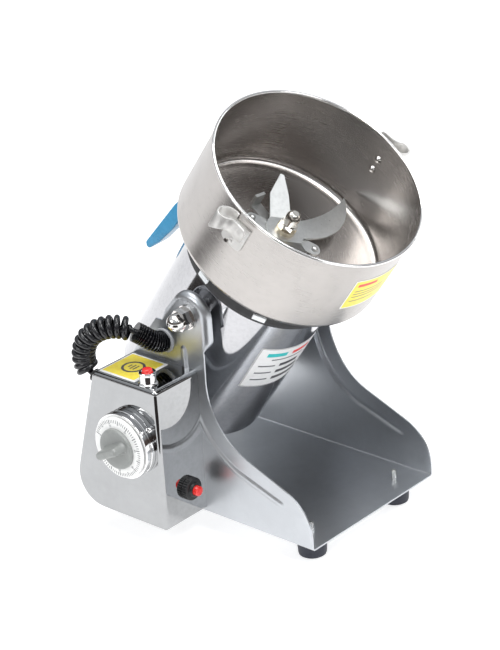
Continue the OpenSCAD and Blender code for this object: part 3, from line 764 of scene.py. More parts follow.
@dataclass
class CurlyCord:
    """The coiled motor lead in its finned boot, from the control box to the left cheek."""

    wire: float = 5.9
    coil: float = 23.5
    turns: float = 13.5
    first_turn: float = 2.2
    run_in: float = 0.55
    points_per_turn: int = 28
    exit: Point = (-141.0, 80.4, 166.7)
    route: tuple[Point, ...] = (
        (-141, 88, 169.3), (-142, 92, 180), (-142.5, 90, 193), (-140.5, 83, 206), (-135.5, 72, 214.5),
        (-128.5, 59.5, 217.5), (-121, 48, 215))
    fins: float = 15.5
    fin_radius: float = 10.5
    fin_depth: float = 3.5
    boot: tuple[Point, ...] = (
        (-94, 32, 196.5), (-100, 32.5, 197.8), (-107, 35.5, 201.5), (-114, 41, 208.5),
                               (-118, 44.3, 212))

    def centreline(self) -> list[Vector]:
        """The wire's own line: straight out of the gland, round the coil, and into the boot."""
        path = smooth_route(self.route, 40)
        axes = carried_frames(path)
        n = len(path) - 1
        radius = (self.coil - self.wire) / 2
        points = [Vector(self.exit) + (Vector(self.route[0]) - Vector(self.exit)) * f for f in (0.0,
                                                                                                0.25,
                                                                                                0.5)]
        steps = int(self.turns * self.points_per_turn)
        for k in range(steps + 1):
            u = k / steps
            at = min(u * n, n - 1e-6)
            i = int(at)
            f = at - i
            centre = path[i].lerp(path[i + 1], f)
            side, over = axes[i][1].lerp(axes[i + 1][1], f), axes[i][2].lerp(axes[i + 1][2], f)
            grow = min(1.0, u * self.turns / self.run_in, (1 - u) * self.turns / self.run_in)
            grow = grow * grow * (3 - 2 * grow)
            turn = 2 * pi * self.turns * u + self.first_turn
            points.append(centre + radius * grow * (cos(turn) * side + sin(turn) * over))
        for q in reversed(self.boot[2:]):
            points.append(Vector(q))
        return points

    def build(self, shop: Workshop) -> None:
        """Wind the wire and mould its boot.

        Args:
            shop: the workshop that dresses pieces.
        """
        points = self.centreline()
        curve = bpy.data.curves.new("curly_cord", "CURVE")
        curve.dimensions, curve.bevel_depth, curve.bevel_resolution = "3D", self.wire / 2 * MM, 5
        curve.use_fill_caps = True
        spline = curve.splines.new("POLY")
        spline.points.add(len(points) - 1)
        for point, p in zip(spline.points, points):
            point.co = (*(p * MM), 1.0)
        spline.use_smooth = True
        curve.materials.append(shop.finish(SHEATH))
        cord = bpy.data.objects.new("curly_cord", curve)
        bpy.context.scene.collection.objects.link(cord)
        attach(cord, Body.BASE.value)
        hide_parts("coil_cord", "cord_tail")
        self._boot(shop)

    def _boot(self, shop: Workshop) -> None:
        """The finned boot and the ring that it goes through."""
        path = smooth_route(self.boot, 90)
        radii = []
        for i in range(len(path)):
            u = i / (len(path) - 1)
            off = abs(((u * self.fins) % 1.0) - 0.5) * 2
            radii.append(self.fin_radius - 0.5 * u - self.fin_depth * max(0.0,
                                                                          min(1.0, (off - 0.34) / 0.2)))
        radii[0] = radii[1] = self.fin_radius - 0.1
        shape = hose(path, radii, 40)
        shop.piece("cord_boot_fins", shape, Body.BASE, [SHEATH], "cord_boot", sharp=50, weighted=False)
        face = looking((-92, 32, 196.5), (-1, 0, 0), (0, 1, 0))
        ring = lathe([(4, -1.2), (12.0, -1.2), (12.4, 0.4), (11.6, 1.6), (10.2, 2.0), (4, 2.0)], 64)
        shop.piece("cheek_grommet", ring, Body.BASE, [GROMMET], "plate_grommet", face)


@dataclass
class TrayStand:
    """The folded tray stand with its embossed cheeks, lipped heads and rubber feet."""

    half: float = 92.0
    sheet: float = 1.5
    tray: float = 22.6
    front: float = -141.0
    rear: float = 112.0
    head: float = 24.0
    lip: float = 7.0
    lip_depth: float = 8.5
    lip_front: float = 34.0
    lip_rear: float = 30.0
    rear_run: float = 49.0
    bend: float = 2.5
    foot: float = 15.2
    rib_height: float = 1.5
    rib_reach: float = 4.4
    rib: tuple[Flat, ...] = ((7.5, 193), (7.3, 178), (6.0, 163)) + tuple(
        (-92 + 95 * cos(radians(t)), 165 + 95 * sin(radians(t)))
        for t in range(-10, -69, -6)) + ((-104, 61.5),)

    @staticmethod
    def _edge(corners: Sequence[Point]) -> Callable[[float], float]:
        """A cheek edge as y for each height, from corners with radii that only ever rise."""
        line = sorted(rounded([(-400.0, corners[0][1], 0.0)] + list(corners) + [(-400.0, corners[-1][1],
                                                                                 0.0)], 14)[1:-1],
                      key=lambda p: p[1])

        def at(z: float) -> float:
            """y at a height."""
            if z <= line[0][1]:
                return line[0][0]
            for (y0, z0), (y1, z1) in zip(line, line[1:]):
                if z <= z1:
                    return y0 + (y1 - y0) * (z - z0) / max(z1 - z0, 1e-9)
            return line[-1][0]

        return at

    def _rise(self, y: float, z: float) -> float:
        """Height of the embossed rib at a point of the cheek."""
        best = inf
        for (y0, z0), (y1, z1) in zip(self.rib, self.rib[1:]):
            dy, dz = y1 - y0, z1 - z0
            f = max(0.0, min(1.0, ((y - y0) * dy + (z - z0) * dz) / (dy * dy + dz * dz)))
            best = min(best, hypot(y - y0 - f * dy, z - z0 - f * dz))
        u = max(0.0, 1 - best / self.rib_reach)
        return self.rib_height * u * u * (3 - 2 * u)

    def build(self, shop: Workshop) -> None:
        """Fold the sheet, form the head lips and set the feet.

        Args:
            shop: the workshop that dresses pieces.
        """
        pz = shop.tilt.pivot_z
        span, jumps = self._outline(pz)
        sheet = self._folded(span, jumps, pz + self.head - self.lip)
        shop.piece("folded_stand", sheet, Body.BASE, [SHEET], "stand", thick=self.sheet, bevel=0.25)
        for side, name in ((-1, "head_lip_left"), (1, "head_lip_right")):
            shop.piece(name, self._head_lip(pz, side), Body.BASE, [SHEET], "stand", stands=False,
                       thick=self.sheet, bevel=0.25)
        self._feet(shop)

    def _outline(self, pz: float) -> tuple[Callable[[float], Flat], Flat]:
        """The flat cheek's outline.

        Args:
            pz: height of the pivot.

        Returns:
            Its front and rear edge at any height, and the two heights where one of them jumps.
        """
        def slope(y: float) -> float:
            """Height of the cheek's sloped front edge."""
            return 83.3 + tan(radians(22)) * (y + 94)

        top = pz - self.lip_front
        front = self._edge([(self.front, self.tray, 0), (self.front, slope(self.front), 45),
                            (-17, slope(-17), 75), (-18, top, 0)])
        inner = self.head - self.lip
        t = radians(self.rear_run)
        toe_y, toe_z = inner * sin(t), pz + inner * cos(t)
        low_z = toe_z - self.lip_rear * sin(t)
        low_y = toe_y + self.lip_rear * cos(t)
        rear = self._edge([(self.rear, self.tray, 0), (self.rear, 62, 0), (84, 163, 30),
                           (low_y + self.lip * sin(t), low_z + self.lip * cos(t), 0)])

        def crown(z: float) -> float:
            """Half width of the head's round part."""
            return sqrt(max(inner ** 2 - (z - pz) ** 2, 0))

        def span(z: float) -> Flat:
            """Front and rear edge at a height."""
            y0 = front(z) if z < top else -inner if z <= pz else -crown(z)
            if z < low_z:
                return y0, rear(z)
            return y0, toe_y + (toe_z - z) / tan(t) if z < toe_z else crown(z)

        return span, (top, low_z)

    def _folded(self, span: Callable[[float], Flat], jumps: Flat, crown: float) -> Shape:
        """The folded sheet as an open surface, from the left cheek's crown round to the right one's.

        Args:
            span: front and rear edge of a cheek at a height.
            jumps: heights where an edge jumps.
            crown: height of the cheeks' tops.

        Returns:
            The surface.
        """
        mid = self.half - self.sheet / 2
        floor = self.tray + self.sheet / 2
        foot = floor + self.bend
        heights = {foot + k * (crown - foot) / 170 for k in range(171)}
        heights |= {jump + off for jump in jumps for off in (-0.01, 0.01)}
        falling = sorted(heights, reverse=True)
        cols = 150

        def row(side: float, z: float) -> list[Vector]:
            """One row of a cheek."""
            y0, y1 = span(z)
            ys = [y0 + (y1 - y0) * k / cols for k in range(cols + 1)]
            return [Vector((side * (mid + self._rise(y, z)), y, z)) for y in ys]

        def flat(x: float, z: float) -> list[Vector]:
            """One row of a bend or of the tray."""
            return [Vector((x, self.front + (self.rear - self.front) * k / cols,
                            z)) for k in range(cols + 1)]

        centre = mid - self.bend
        turns = [pi / 2 * k / 6 for k in range(1, 6)]
        bends = [(centre + self.bend * cos(t), foot - self.bend * sin(t)) for t in turns]
        rows = [row(-1, z) for z in falling] + [flat(-x, z) for x, z in bends]
        rows += [flat(-centre + 2 * centre * k / 24, floor) for k in range(25)]
        rows += [flat(x, z) for x, z in reversed(bends)] + [row(1, z) for z in reversed(falling)]
        return loft(rows, capped=False, closed=False)

    def _head_lip(self, pz: float, side: int) -> Shape:
        """The rolled lip round one cheek's head, as an open surface."""
        t = radians(self.rear_run)
        tail, out = (cos(t), -sin(t)), (sin(t), cos(t))
        stations = []
        for k in range(16):
            f = k / 16
            stations.append(((-self.head, pz - self.lip_front * (1 - f)), (-1.0, 0.0), ease(f / 0.35)))
        for k in range(25):
            a = pi - (pi / 2 + t) * k / 24
            stations.append(((self.head * cos(a), pz + self.head * sin(a)), (cos(a), sin(a)), 1.0))
        y, z = stations[-1][0]
        stations += [((y + tail[0] * self.lip_rear * k / 10, z + tail[1] * self.lip_rear * k / 10), out,
                      ease((11 - k) / 4)) for k in range(1, 11)]
        radius = self.lip - self.sheet / 2
        rings = []
        for (y, z), (ny, nz), s in stations:
            ring = []
            for k in range(9):
                a = pi / 2 * k / 8
                ring.append((self.lip - radius * sin(a) * s, radius * (1 - cos(a)) * s))
            ring.append((ring[-1][0], (self.lip_depth - self.sheet / 2) * s))
            rings.append([Vector((side * (self.half - self.sheet / 2 - x), y - ny * d,
                                  z - nz * d)) for d, x in ring])
        return loft(rings, capped=False, closed=False)

    def _feet(self, shop: Workshop) -> None:
        """Four tapered rubber feet under the tray."""
        low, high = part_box("rubber_feet")
        foot = lathe([(0, SEAT), (10.5, SEAT), (11.0, 0.5), (12.4, 0.6), (13.4, 1.3), (13.8, 2.6),
                      (14.6, 14.0),
                      (15.0, 19.0), (15.1, 20.5), (15.1, 22.0), (14.6, 22.58), (0, 22.58)], 64,
                     closed=False)
        shape = Shape()
        for x in (low.x / MM + self.foot, high.x / MM - self.foot):
            for y in (low.y / MM + self.foot, high.y / MM - self.foot):
                shape.add(foot, Matrix.Translation((x, y, 0)))
        shop.piece("moulded_feet", shape, Body.BASE, [RUBBER], "rubber_feet")


@dataclass
class ControlBox:
    """The chromed control box on the left cheek, with its label."""

    outer: float = -150.0
    cheek: float = -92.0
    edge: float = 4.0
    corners: tuple[Point, ...] = ((-8, 27, 4), (-8, 175, 5), (75.5, 175, 6), (118, 27, 30))

    def build(self, shop: Workshop) -> None:
        """Form the cover and stick its label on.

        Args:
            shop: the workshop that dresses pieces.
        """
        loop = rounded(self.corners, 10)
        across = looking((0, 0, 0), (1, 0, 0), (0, 1, 0))
        shell = slab(loop, self.outer, self.cheek - SEAT, self.edge, 0.0, 8)
        shop.piece("box_cover", shell, Body.BASE, [COVER], "control_box_cover", across, sharp=60)
        self._label(shop)

    def _label(self, shop: Workshop) -> None:
        """A yellow foil label with a white border and a plain ring printed on it."""
        top = 175.0
        shape = slab(box_loop(-144.5, 24, -97.5, 70.5, 1.2, 4), top, top + 0.22)
        shape.add(slab(box_loop(-141.5, 27.5, -99.5, 69.0, 0.8, 4), top + 0.2, top + 0.27), tag=1)
        print_low, print_high = top + 0.26, top + 0.3
        middle = Matrix.Translation((-120.5, 48, 0))
        ring = lathe([(9.2, print_low), (11.8, print_low), (11.8, print_high), (9.2, print_high)], 64)
        shape.add(ring, middle, tag=2)
        for y, half in ((-3.4, 4.6), (0.4, 4.6), (4.2, 2.8)):
            bar = box_loop(-half, y - 0.8, half, y + 0.8, 0.5, 3)
            shape.add(slab(bar, print_low, print_high), middle, tag=2)
        shop.piece("box_label_foil", shape, Body.BASE, [FOIL, YELLOW, INK], "box_label", weighted=False)


@dataclass
class TimerDial:
    """The timer's chrome bezel, graduated skirt and finger grip on the box's outer face."""

    centre: Point = (-150.0, 31.0, 113.0)
    bezel: float = 33.5
    skirt: float = 31.0
    disc: float = 20.5
    skirt_face: float = 16.9
    zero: float = -20.0
    step: float = 5.0
    grip_turn: float = -26.0

    def build(self, shop: Workshop) -> None:
        """Turn the bezel and mould the knob.

        Args:
            shop: the workshop that dresses pieces.
        """
        face = looking(self.centre, (-1, 0, 0), (0, 1, 0))
        b = self.bezel
        ring = lathe([(8, SEAT), (b - 0.6, SEAT), (b, 0.5), (b, 4.6), (b - 0.4, 5.2), (b - 1.6, 5.3),
                      (b - 1.9, 5.7),
                      (b - 1.9, 6.3), (b - 1.6, 6.7), (b - 0.4, 6.8), (b, 7.4), (b, 10.9),
                      (b - 0.3, 11.6), (b - 1.0, 12.0), (8, 12.0)], 128)
        shop.piece("dial_bezel_turned", ring, Body.BASE, [CHROME], "dial_bezel", face)
        pin = lathe([(0, SEAT), (2.2, SEAT), (2.2, 1.6), (2.9, 2.0), (3.0, 3.6), (2.6, 4.8), (1.6, 5.5),
                     (0, 5.8)], 32, closed=False)
        shop.piece("pointer_pin", pin, Body.BASE, [CHROME], "dial_pointer",
                   looking((-150, 0.5, 135.5), (-1, 0, 0), (0, 1, 0)))
        s = self.skirt
        disc = lathe([(3.0, 12.5), (s - 0.8, 12.5), (s, 13.1), (s, 15.0), (s - 0.5, 15.9),
                      (s - 1.6, 16.5), (self.disc + 1, self.skirt_face), (3.0, self.skirt_face)], 128)
        shape = Shape().add(disc)
        self._ticks(shape)
        self._numbers(shape)
        shop.piece("dial_skirt_disc", shape, Body.KNOB, [WHITE, DIAL_INK], "dial_skirt", face)
        self._grip(shop, face)

    def _ticks(self, shape: Shape) -> None:
        """Add the graduations to the skirt, a hair proud of its face."""
        for k in range(61):
            long = k % 5 == 0
            r0, r1, w = (24.6 if long else 25.8), 29.0, (0.42 if long else 0.3)
            rings = []
            for r in (r0, r1):
                z = self.skirt_face - 0.4 * (r - 21.5) / 7.9
                rings.append([Vector((r, -w, z - 0.1)), Vector((r, w, z - 0.1)),
                              Vector((r, w, z + 0.06)), Vector((r, -w, z + 0.06))])
            turn = radians(self.zero - self.step * k)
            shape.add(loft(rings), Matrix.Rotation(turn, 4, "Z"), tag=1)

    def _numbers(self, shape: Shape) -> None:
        """Add the numbers to the skirt, one at every tenth graduation."""
        for k in range(7):
            text = bpy.data.curves.new("number", "FONT")
            text.body, text.size, text.align_x, text.align_y = str(k * 10), 3.1, "CENTER", "CENTER"
            text.extrude = 0.05
            holder = bpy.data.objects.new("number", text)
            bpy.context.scene.collection.objects.link(holder)
            bpy.context.view_layer.update()
            solved = holder.evaluated_get(bpy.context.evaluated_depsgraph_get())
            mesh = bpy.data.meshes.new_from_object(solved)
            turn = Matrix.Rotation(radians(self.zero - 10 * self.step * k), 4, "Z")
            upright = Matrix.Rotation(-pi / 2, 4, "Z")
            glyph = Shape([v.co.copy() for v in mesh.vertices],
                          [tuple(p.vertices) for p in mesh.polygons])
            glyph.tags = [1] * len(glyph.faces)
            shape.add(glyph, turn @ Matrix.Translation((22.8, 0, self.skirt_face - 0.06)) @ upright)
            bpy.data.objects.remove(holder)
            bpy.data.curves.remove(text)
            bpy.data.meshes.remove(mesh)

    def _grip(self, shop: Workshop, face: Matrix) -> None:
        """The grey knob: a domed disc and a waisted finger bar, in one moulding."""
        d = self.disc
        shape = lathe([(0, 16.92), (d, 16.92), (d, 19.2), (d - 0.5, 20.3), (d - 1.5, 20.8), (10, 21.2),
                       (0, 21.2)], 96, closed=False)
        levels = [(20.2, 17.6, 7.4), (21.2, 16.8, 6.2), (22.2, 16.2, 5.3), (24.5, 15.7, 4.7),
                  (28.0, 15.3, 4.4),
                  (31.1, 15.0, 4.3), (32.9, 14.6, 4.0), (33.9, 13.8, 3.2), (34.37, 12.6, 1.9)]
        rings = []
        for z, length, half in levels:
            ring = []
            for k in range(48):
                t = 2 * pi * k / 48
                flat = max(length - half, 0.5)
                x = copysign(flat, cos(t)) + half * cos(t)
                ring.append(Vector((x, half * sin(t), z)))
            rings.append(ring)
        bar = loft(rings)
        turn = radians(self.grip_turn)
        place = looking((0, 0, 0), (0, 0, 1), (cos(turn), -sin(turn), 0))
        shape.add(bar, place)
        shop.piece("knob_moulding", shape, Body.KNOB, [KNOB], "knob_grip", face, sharp=40)


@dataclass
class PushButtons:
    """The start button on the box's top and the reset button on its front."""

    top: Point = (-139.0, 11.0, 175.0)
    front: Point = (-115.0, -8.0, 60.0)

    def build(self, shop: Workshop) -> None:
        """Turn the bezels and mould the buttons.

        Args:
            shop: the workshop that dresses pieces.
        """
        up = looking(self.top, (0, 0, 1), (1, 0, 0))
        boss = lathe([(5.05, SEAT), (9.0, SEAT), (9.4, 0.5), (9.4, 1.2), (8.9, 1.8), (8.3, 2.2),
                      (8.0, 3.0), (7.9, 9.0),
                      (8.0, 10.6), (8.4, 11.4), (8.4, 12.3), (7.9, 13.0), (7.0, 13.2), (5.8, 12.9),
                      (5.05, 12.2)], 80)
        shop.piece("start_bezel", boss, Body.BASE, [CHROME], "switch_bezel", up)
        cap = lathe([(0, 4.0), (4.99, 4.0), (4.99, 14.6), (4.7, 15.4), (3.9, 15.9), (0, 15.99)], 64,
                    closed=False)
        shop.piece("start_button", cap, Body.POWER, [RED], "switch_button", up)
        out = looking(self.front, (0, -1, 0), (1, 0, 0))

        def flute(t: float, z: float) -> float:
            """The nut's thirty finger flutes."""
            return 0.28 * cos(30 * t) if 0.4 < z < 5.6 else 0.0

        nut = lathe([(5.05, SEAT), (10.9, SEAT), (11.2, 0.5), (11.2, 5.4), (10.9, 6.1), (10.2, 6.5),
                     (7.4, 6.6), (7.0, 7.0), (6.9, 8.6), (6.5, 9.0), (5.05, 9.0)], 180, flute=flute)
        shop.piece("reset_nut", nut, Body.BASE, [BLACK], "breaker_nut", out, sharp=50)
        cap = lathe([(0, 2.5), (4.99, 2.5), (4.99, 12.6), (4.7, 13.4), (3.9, 13.9), (0, 13.99)], 64,
                    closed=False)
        shop.piece("reset_button_cap", cap, Body.RESET, [RED], "breaker_button", out)


@dataclass
class MotorUnit:
    """The polished motor tube with its plate, handle, collar and lugs."""

    tube: float = 77.0
    wall: float = 1.2
    low: float = -142.9
    high: float = 36.0

    def build(self, shop: Workshop) -> None:
        """Turn the tube and collar, wrap the plate and mould the handle.

        Args:
            shop: the workshop that dresses pieces.
        """
        place = shop.tilt.place()
        r, t = self.tube, self.wall
        profile = [(r - t, self.low + SEAT), (r - 0.5, self.low + SEAT), (r - 0.12, self.low + 0.2),
                   (r, self.low + 0.6), (r, self.high - SEAT), (r - t, self.high - SEAT)]
        shop.piece("motor_tube", lathe(profile, 192), Body.GRINDER, [TUBE], "motor_housing", place)
        band = lathe([(60, 40 + SEAT), (82.4, 40 + SEAT), (83.0, 40.6), (83.0, 60.0), (82.4, 64 - SEAT),
                      (60, 64 - SEAT)], 160)
        shop.piece("collar_band", band, Body.GRINDER, [BLACK], "bowl_collar", place)
        lugs = Shape()
        for k in range(8):
            block = slab(box_loop(-6.5, 41.2, 6.5, 47, 0.8, 3), 82.9, 85.1, 0, 0.5)
            turn = radians(-97 + 45 * k)
            lugs.add(block, Matrix.Rotation(turn, 4, "Z") @ looking((0, 0, 0), (1, 0, 0), (0, 1, 0)))
        shop.piece("collar_lug_set", lugs, Body.GRINDER, [LUG], "collar_lugs", place)
        self._plate(shop, place)
        self._handle(shop, place)

    def _plate(self, shop: Workshop, place: Matrix) -> None:
        """The foil plate on the tube, printed with plain bars only."""
        r = self.tube
        shape = patch(r, FOIL_THICK, -125.4, -60.0, -61.5, -2.0)
        bars = [(-124.9, -60.5, -60.9, -60.5, 1), (-124.9, -60.5, -3.0, -2.6, 1),
                (-124.9, -124.6, -60.9, -2.6, 1), (-60.8, -60.5, -60.9, -2.6, 1),
                (-118, -101, -14.5, -9.0, 2), (-96, -78, -14.5, -9.5, 3), (-112, -82, -20.2, -18.6, 4)]
        for k, z in enumerate((-29.0, -39.5, -50.0)):
            bars += [(-120, -106, z - 1.0, z + 0.8, 4), (-102, -84 + 4 * k, z - 2.4, z + 2.2, 1),
                     (-74, -66, z - 0.8, z + 0.8, 4)]
        for a0, a1, z0, z1, ink in bars:
            shape.add(patch(r + FOIL_THICK, INK_THICK, a0, a1, z0, z1), tag=ink)
        shop.piece("rating_foil", shape, Body.GRINDER, [FOIL, INK, TEAL, RED_INK, DIAL_INK],
                   "rating_plate", place, weighted=False)

    def _handle(self, shop: Workshop, place: Matrix) -> None:
        """The blue lever behind the tube, a crowned blade that hangs down and away."""
        loop = rounded([(77.25, 30, 1), (96, 30, 5), (106, 20, 8), (110, 2, 20), (117.2, -62.5, 3.4),
                        (111.2, -68.6, 3.4), (104, -50, 14), (98, -22, 20), (96, 2, 12), (88, 8, 6),
                        (77.25, 8, 1)], 10)
        across = looking((0, 0, 0), (1, 0, 0), (0, 1, 0))
        shape = slab(loop, -7.9, 7.9, 1.7, 1.7, 5)
        rib = slab(inset(loop, 3.0), -8.0, 8.0, 0.3, 0.3, 2)
        shape.add(rib)
        shop.piece("tilt_handle", shape, Body.GRINDER, [BLUE], "bowl_handle", place @ across, sharp=50)


def patch(r: float, t: float, a0: float, a1: float, z0: float, z1: float) -> Shape:
    """A thin rectangle wrapped on a cylinder.

    Args:
        r: the cylinder's radius.
        t: the patch's thickness.
        a0: the first angle, in degrees.
        a1: the last angle.
        z0: the lower edge.
        z1: the upper edge.

    Returns:
        The closed patch.
    """
    steps = max(2, int(abs(a1 - a0) / 2))
    return lathe([(r - 0.01, z0), (r + t, z0), (r + t, z1), (r - 0.01, z1)], steps, True, a1 - a0, a0)


@dataclass
class GrindingBowl:
    """The open spun bowl with its rolled rim, pressed lid hooks and label."""

    radius: float = 104.5
    low: float = 64.0
    high: float = 160.7
    wall: float = 1.2
    corner: float = 8.0
    bead: float = 1.5
    hook: tuple[Flat, ...] = (
        (-1.4, 2), (-2.6, 8), (-6, 13.2), (-12, 16.2), (-17.6, 15), (-20, 10.4), (-18.6, 5.4),
        (-14.6, 1.6), (-12.2, -3), (-11.6, -10), (-11.6, -16.8))

    def build(self, shop: Workshop) -> None:
        """Spin the bowl, press the hooks and stick the label on.

        Args:
            shop: the workshop that dresses pieces.
        """
        place = shop.tilt.place()
        r, t, c = self.radius, self.wall, self.corner
        bead_z = self.high - self.bead
        out = [(14.2, self.low + SEAT), (r - c, self.low + SEAT)]
        out += [(r - c + c * sin(radians(a)),
                 self.low + c - c * cos(radians(a))) for a in range(9, 90, 9)]
        out += [(r, self.low + c), (r, bead_z - 2.2), (r + 0.1, bead_z - 1.5)]
        out += [(r + self.bead * cos(radians(a)), bead_z + self.bead * sin(radians(a)))
                for a in range(-60, 181, 20)]
        ci = c - t
        inside = [(r - t, bead_z - 1.6), (r - t, self.low + c)]
        inside += [(r - c + ci * cos(radians(a)),
                    self.low + c - ci * sin(radians(a))) for a in range(9, 90, 9)]
        inside += [(r - c, self.low + t), (r - c - 3, self.low + t + 0.35), (r - c - 5, self.low + t),
                   (34, self.low + t), (31, self.low + t + 0.5), (14.2, self.low + t + 0.5)]
        shape = lathe(out + inside, 256)
        # Faces of the rolled bead take the brighter rim finish, a painted highlight along the rim.
        rim_low = bead_z - 2.4
        for i, f in enumerate(shape.faces):
            if min(shape.verts[j].z for j in f) > rim_low:
                shape.tags[i] = 1
        shop.piece("spun_bowl", shape, Body.GRINDER, [BOWL, RIM_PAINTED_HIGHLIGHT], "bowl", place, sharp=40,
                   weighted=False)
        for side, name in ((-1, "left"), (1, "right")):
            turn = Matrix.Identity(4) if side < 0 else Matrix.Rotation(pi, 4, "Z")
            shop.piece("pressed_hook_%s" % name, self._hook(), Body.GRINDER, [HOOK], "lid_hook_" + name,
                       place @ turn, sharp=45, weighted=False)
        self._label(shop, place)

    def _hook(self) -> Shape:
        """The left lid hook: a pressed plate on the wall and a band that bends round off it."""
        return self._foot_plate().add(self._band())

    def _foot_plate(self) -> Shape:
        """The hook's plate, laid on the wall with two pressed rivet rings and a rounded foot."""
        cols, rows, top, length, centre = 44, 44, 149, 28, -4.0
        skins = []
        for depth in (0.1, 2.1):
            grid = []
            for i in range(cols + 1):
                v = -16 + 24 * i / cols
                drop = 2.5 * max(0.0, (abs(v - centre) - 8) / 4) ** 2
                line = []
                for j in range(rows + 1):
                    a = top - length + drop + (length - drop) * j / rows
                    press = 0.0
                    for rivet, size in ((126.5, 2.2), (135.0, 2.8)):
                        far = hypot(v - centre, a - rivet)
                        press += 0.55 * exp(-((far - size) / 0.9) ** 2)
                        press -= 0.5 * exp(-((far / 1.3) ** 2))
                    x = -(sqrt(self.radius ** 2 - v * v) + depth + (press if depth > 1 else 0.0))
                    line.append(Vector((x, v, a)))
                grid.append(line)
            skins.append(grid)
        low, high = skins
        shape = Shape()
        walls = [high, low] + [[low[at], high[at]] for at in (0, -1)]
        walls += [[[line[at] for line in low], [line[at] for line in high]] for at in (0, -1)]
        for wall in walls:
            shape.add(loft(wall, capped=False, closed=False))
        return shape

    def _band(self) -> Shape:
        """The hook's band, a bent strip with eased edges."""
        line = [Vector((p.x - self.radius, p.y)) for p in smooth_route([(x, v, 0) for x,
                                                                        v in self.hook], 6)]
        rings = []
        last = len(line) - 1
        for i, p in enumerate(line):
            along = (line[min(i + 1, last)] - line[max(i - 1, 0)]).normalized()
            out = Vector((along.y, -along.x, 0))
            low = 131.5 + 9.5 * ease((i / last - 0.30) / 0.35)
            high = 156.0 - 3.0 * max(0.0, (i / last - 0.93) / 0.07) ** 2
            ring = []
            for k, (side, end) in enumerate(((1, 0), (1, 1), (-1, 1), (-1, 0))):
                a, way = (high, -1) if end else (low, 1)
                corner = [out * side + Vector((0, 0, a + way * 0.5)),
                          out * side * 0.5 + Vector((0, 0, a))]
                ring += corner if k in (1, 3) else corner[::-1]
            rings.append([Vector((p.x, p.y, 0)) + q for q in ring])
        return loft(rings)

    def _label(self, shop: Workshop, place: Matrix) -> None:
        """The yellow foil on the wall, with faint plain lines."""
        r = self.radius
        shape = patch(r, FOIL_THICK, -108, -76, 95.5, 135.5)
        shape.add(patch(r + FOIL_THICK, INK_THICK, -107.4, -76.6, 96.5, 134.5), tag=1)
        for z0, a0, a1, h in ((126, -105, -92, 4.0), (119, -105, -82, 1.0), (115, -105, -84, 1.0),
                              (111, -105, -80, 1.0), (105, -105, -88, 1.0)):
            shape.add(patch(r + 0.25, 0.03, a0, a1, z0, z0 + h), tag=2 if h < 2 else 3)
        shop.piece("bowl_foil", shape, Body.GRINDER, [FOIL, YELLOW, DIAL_INK, RED_INK], "bowl_label",
                   place, weighted=False)


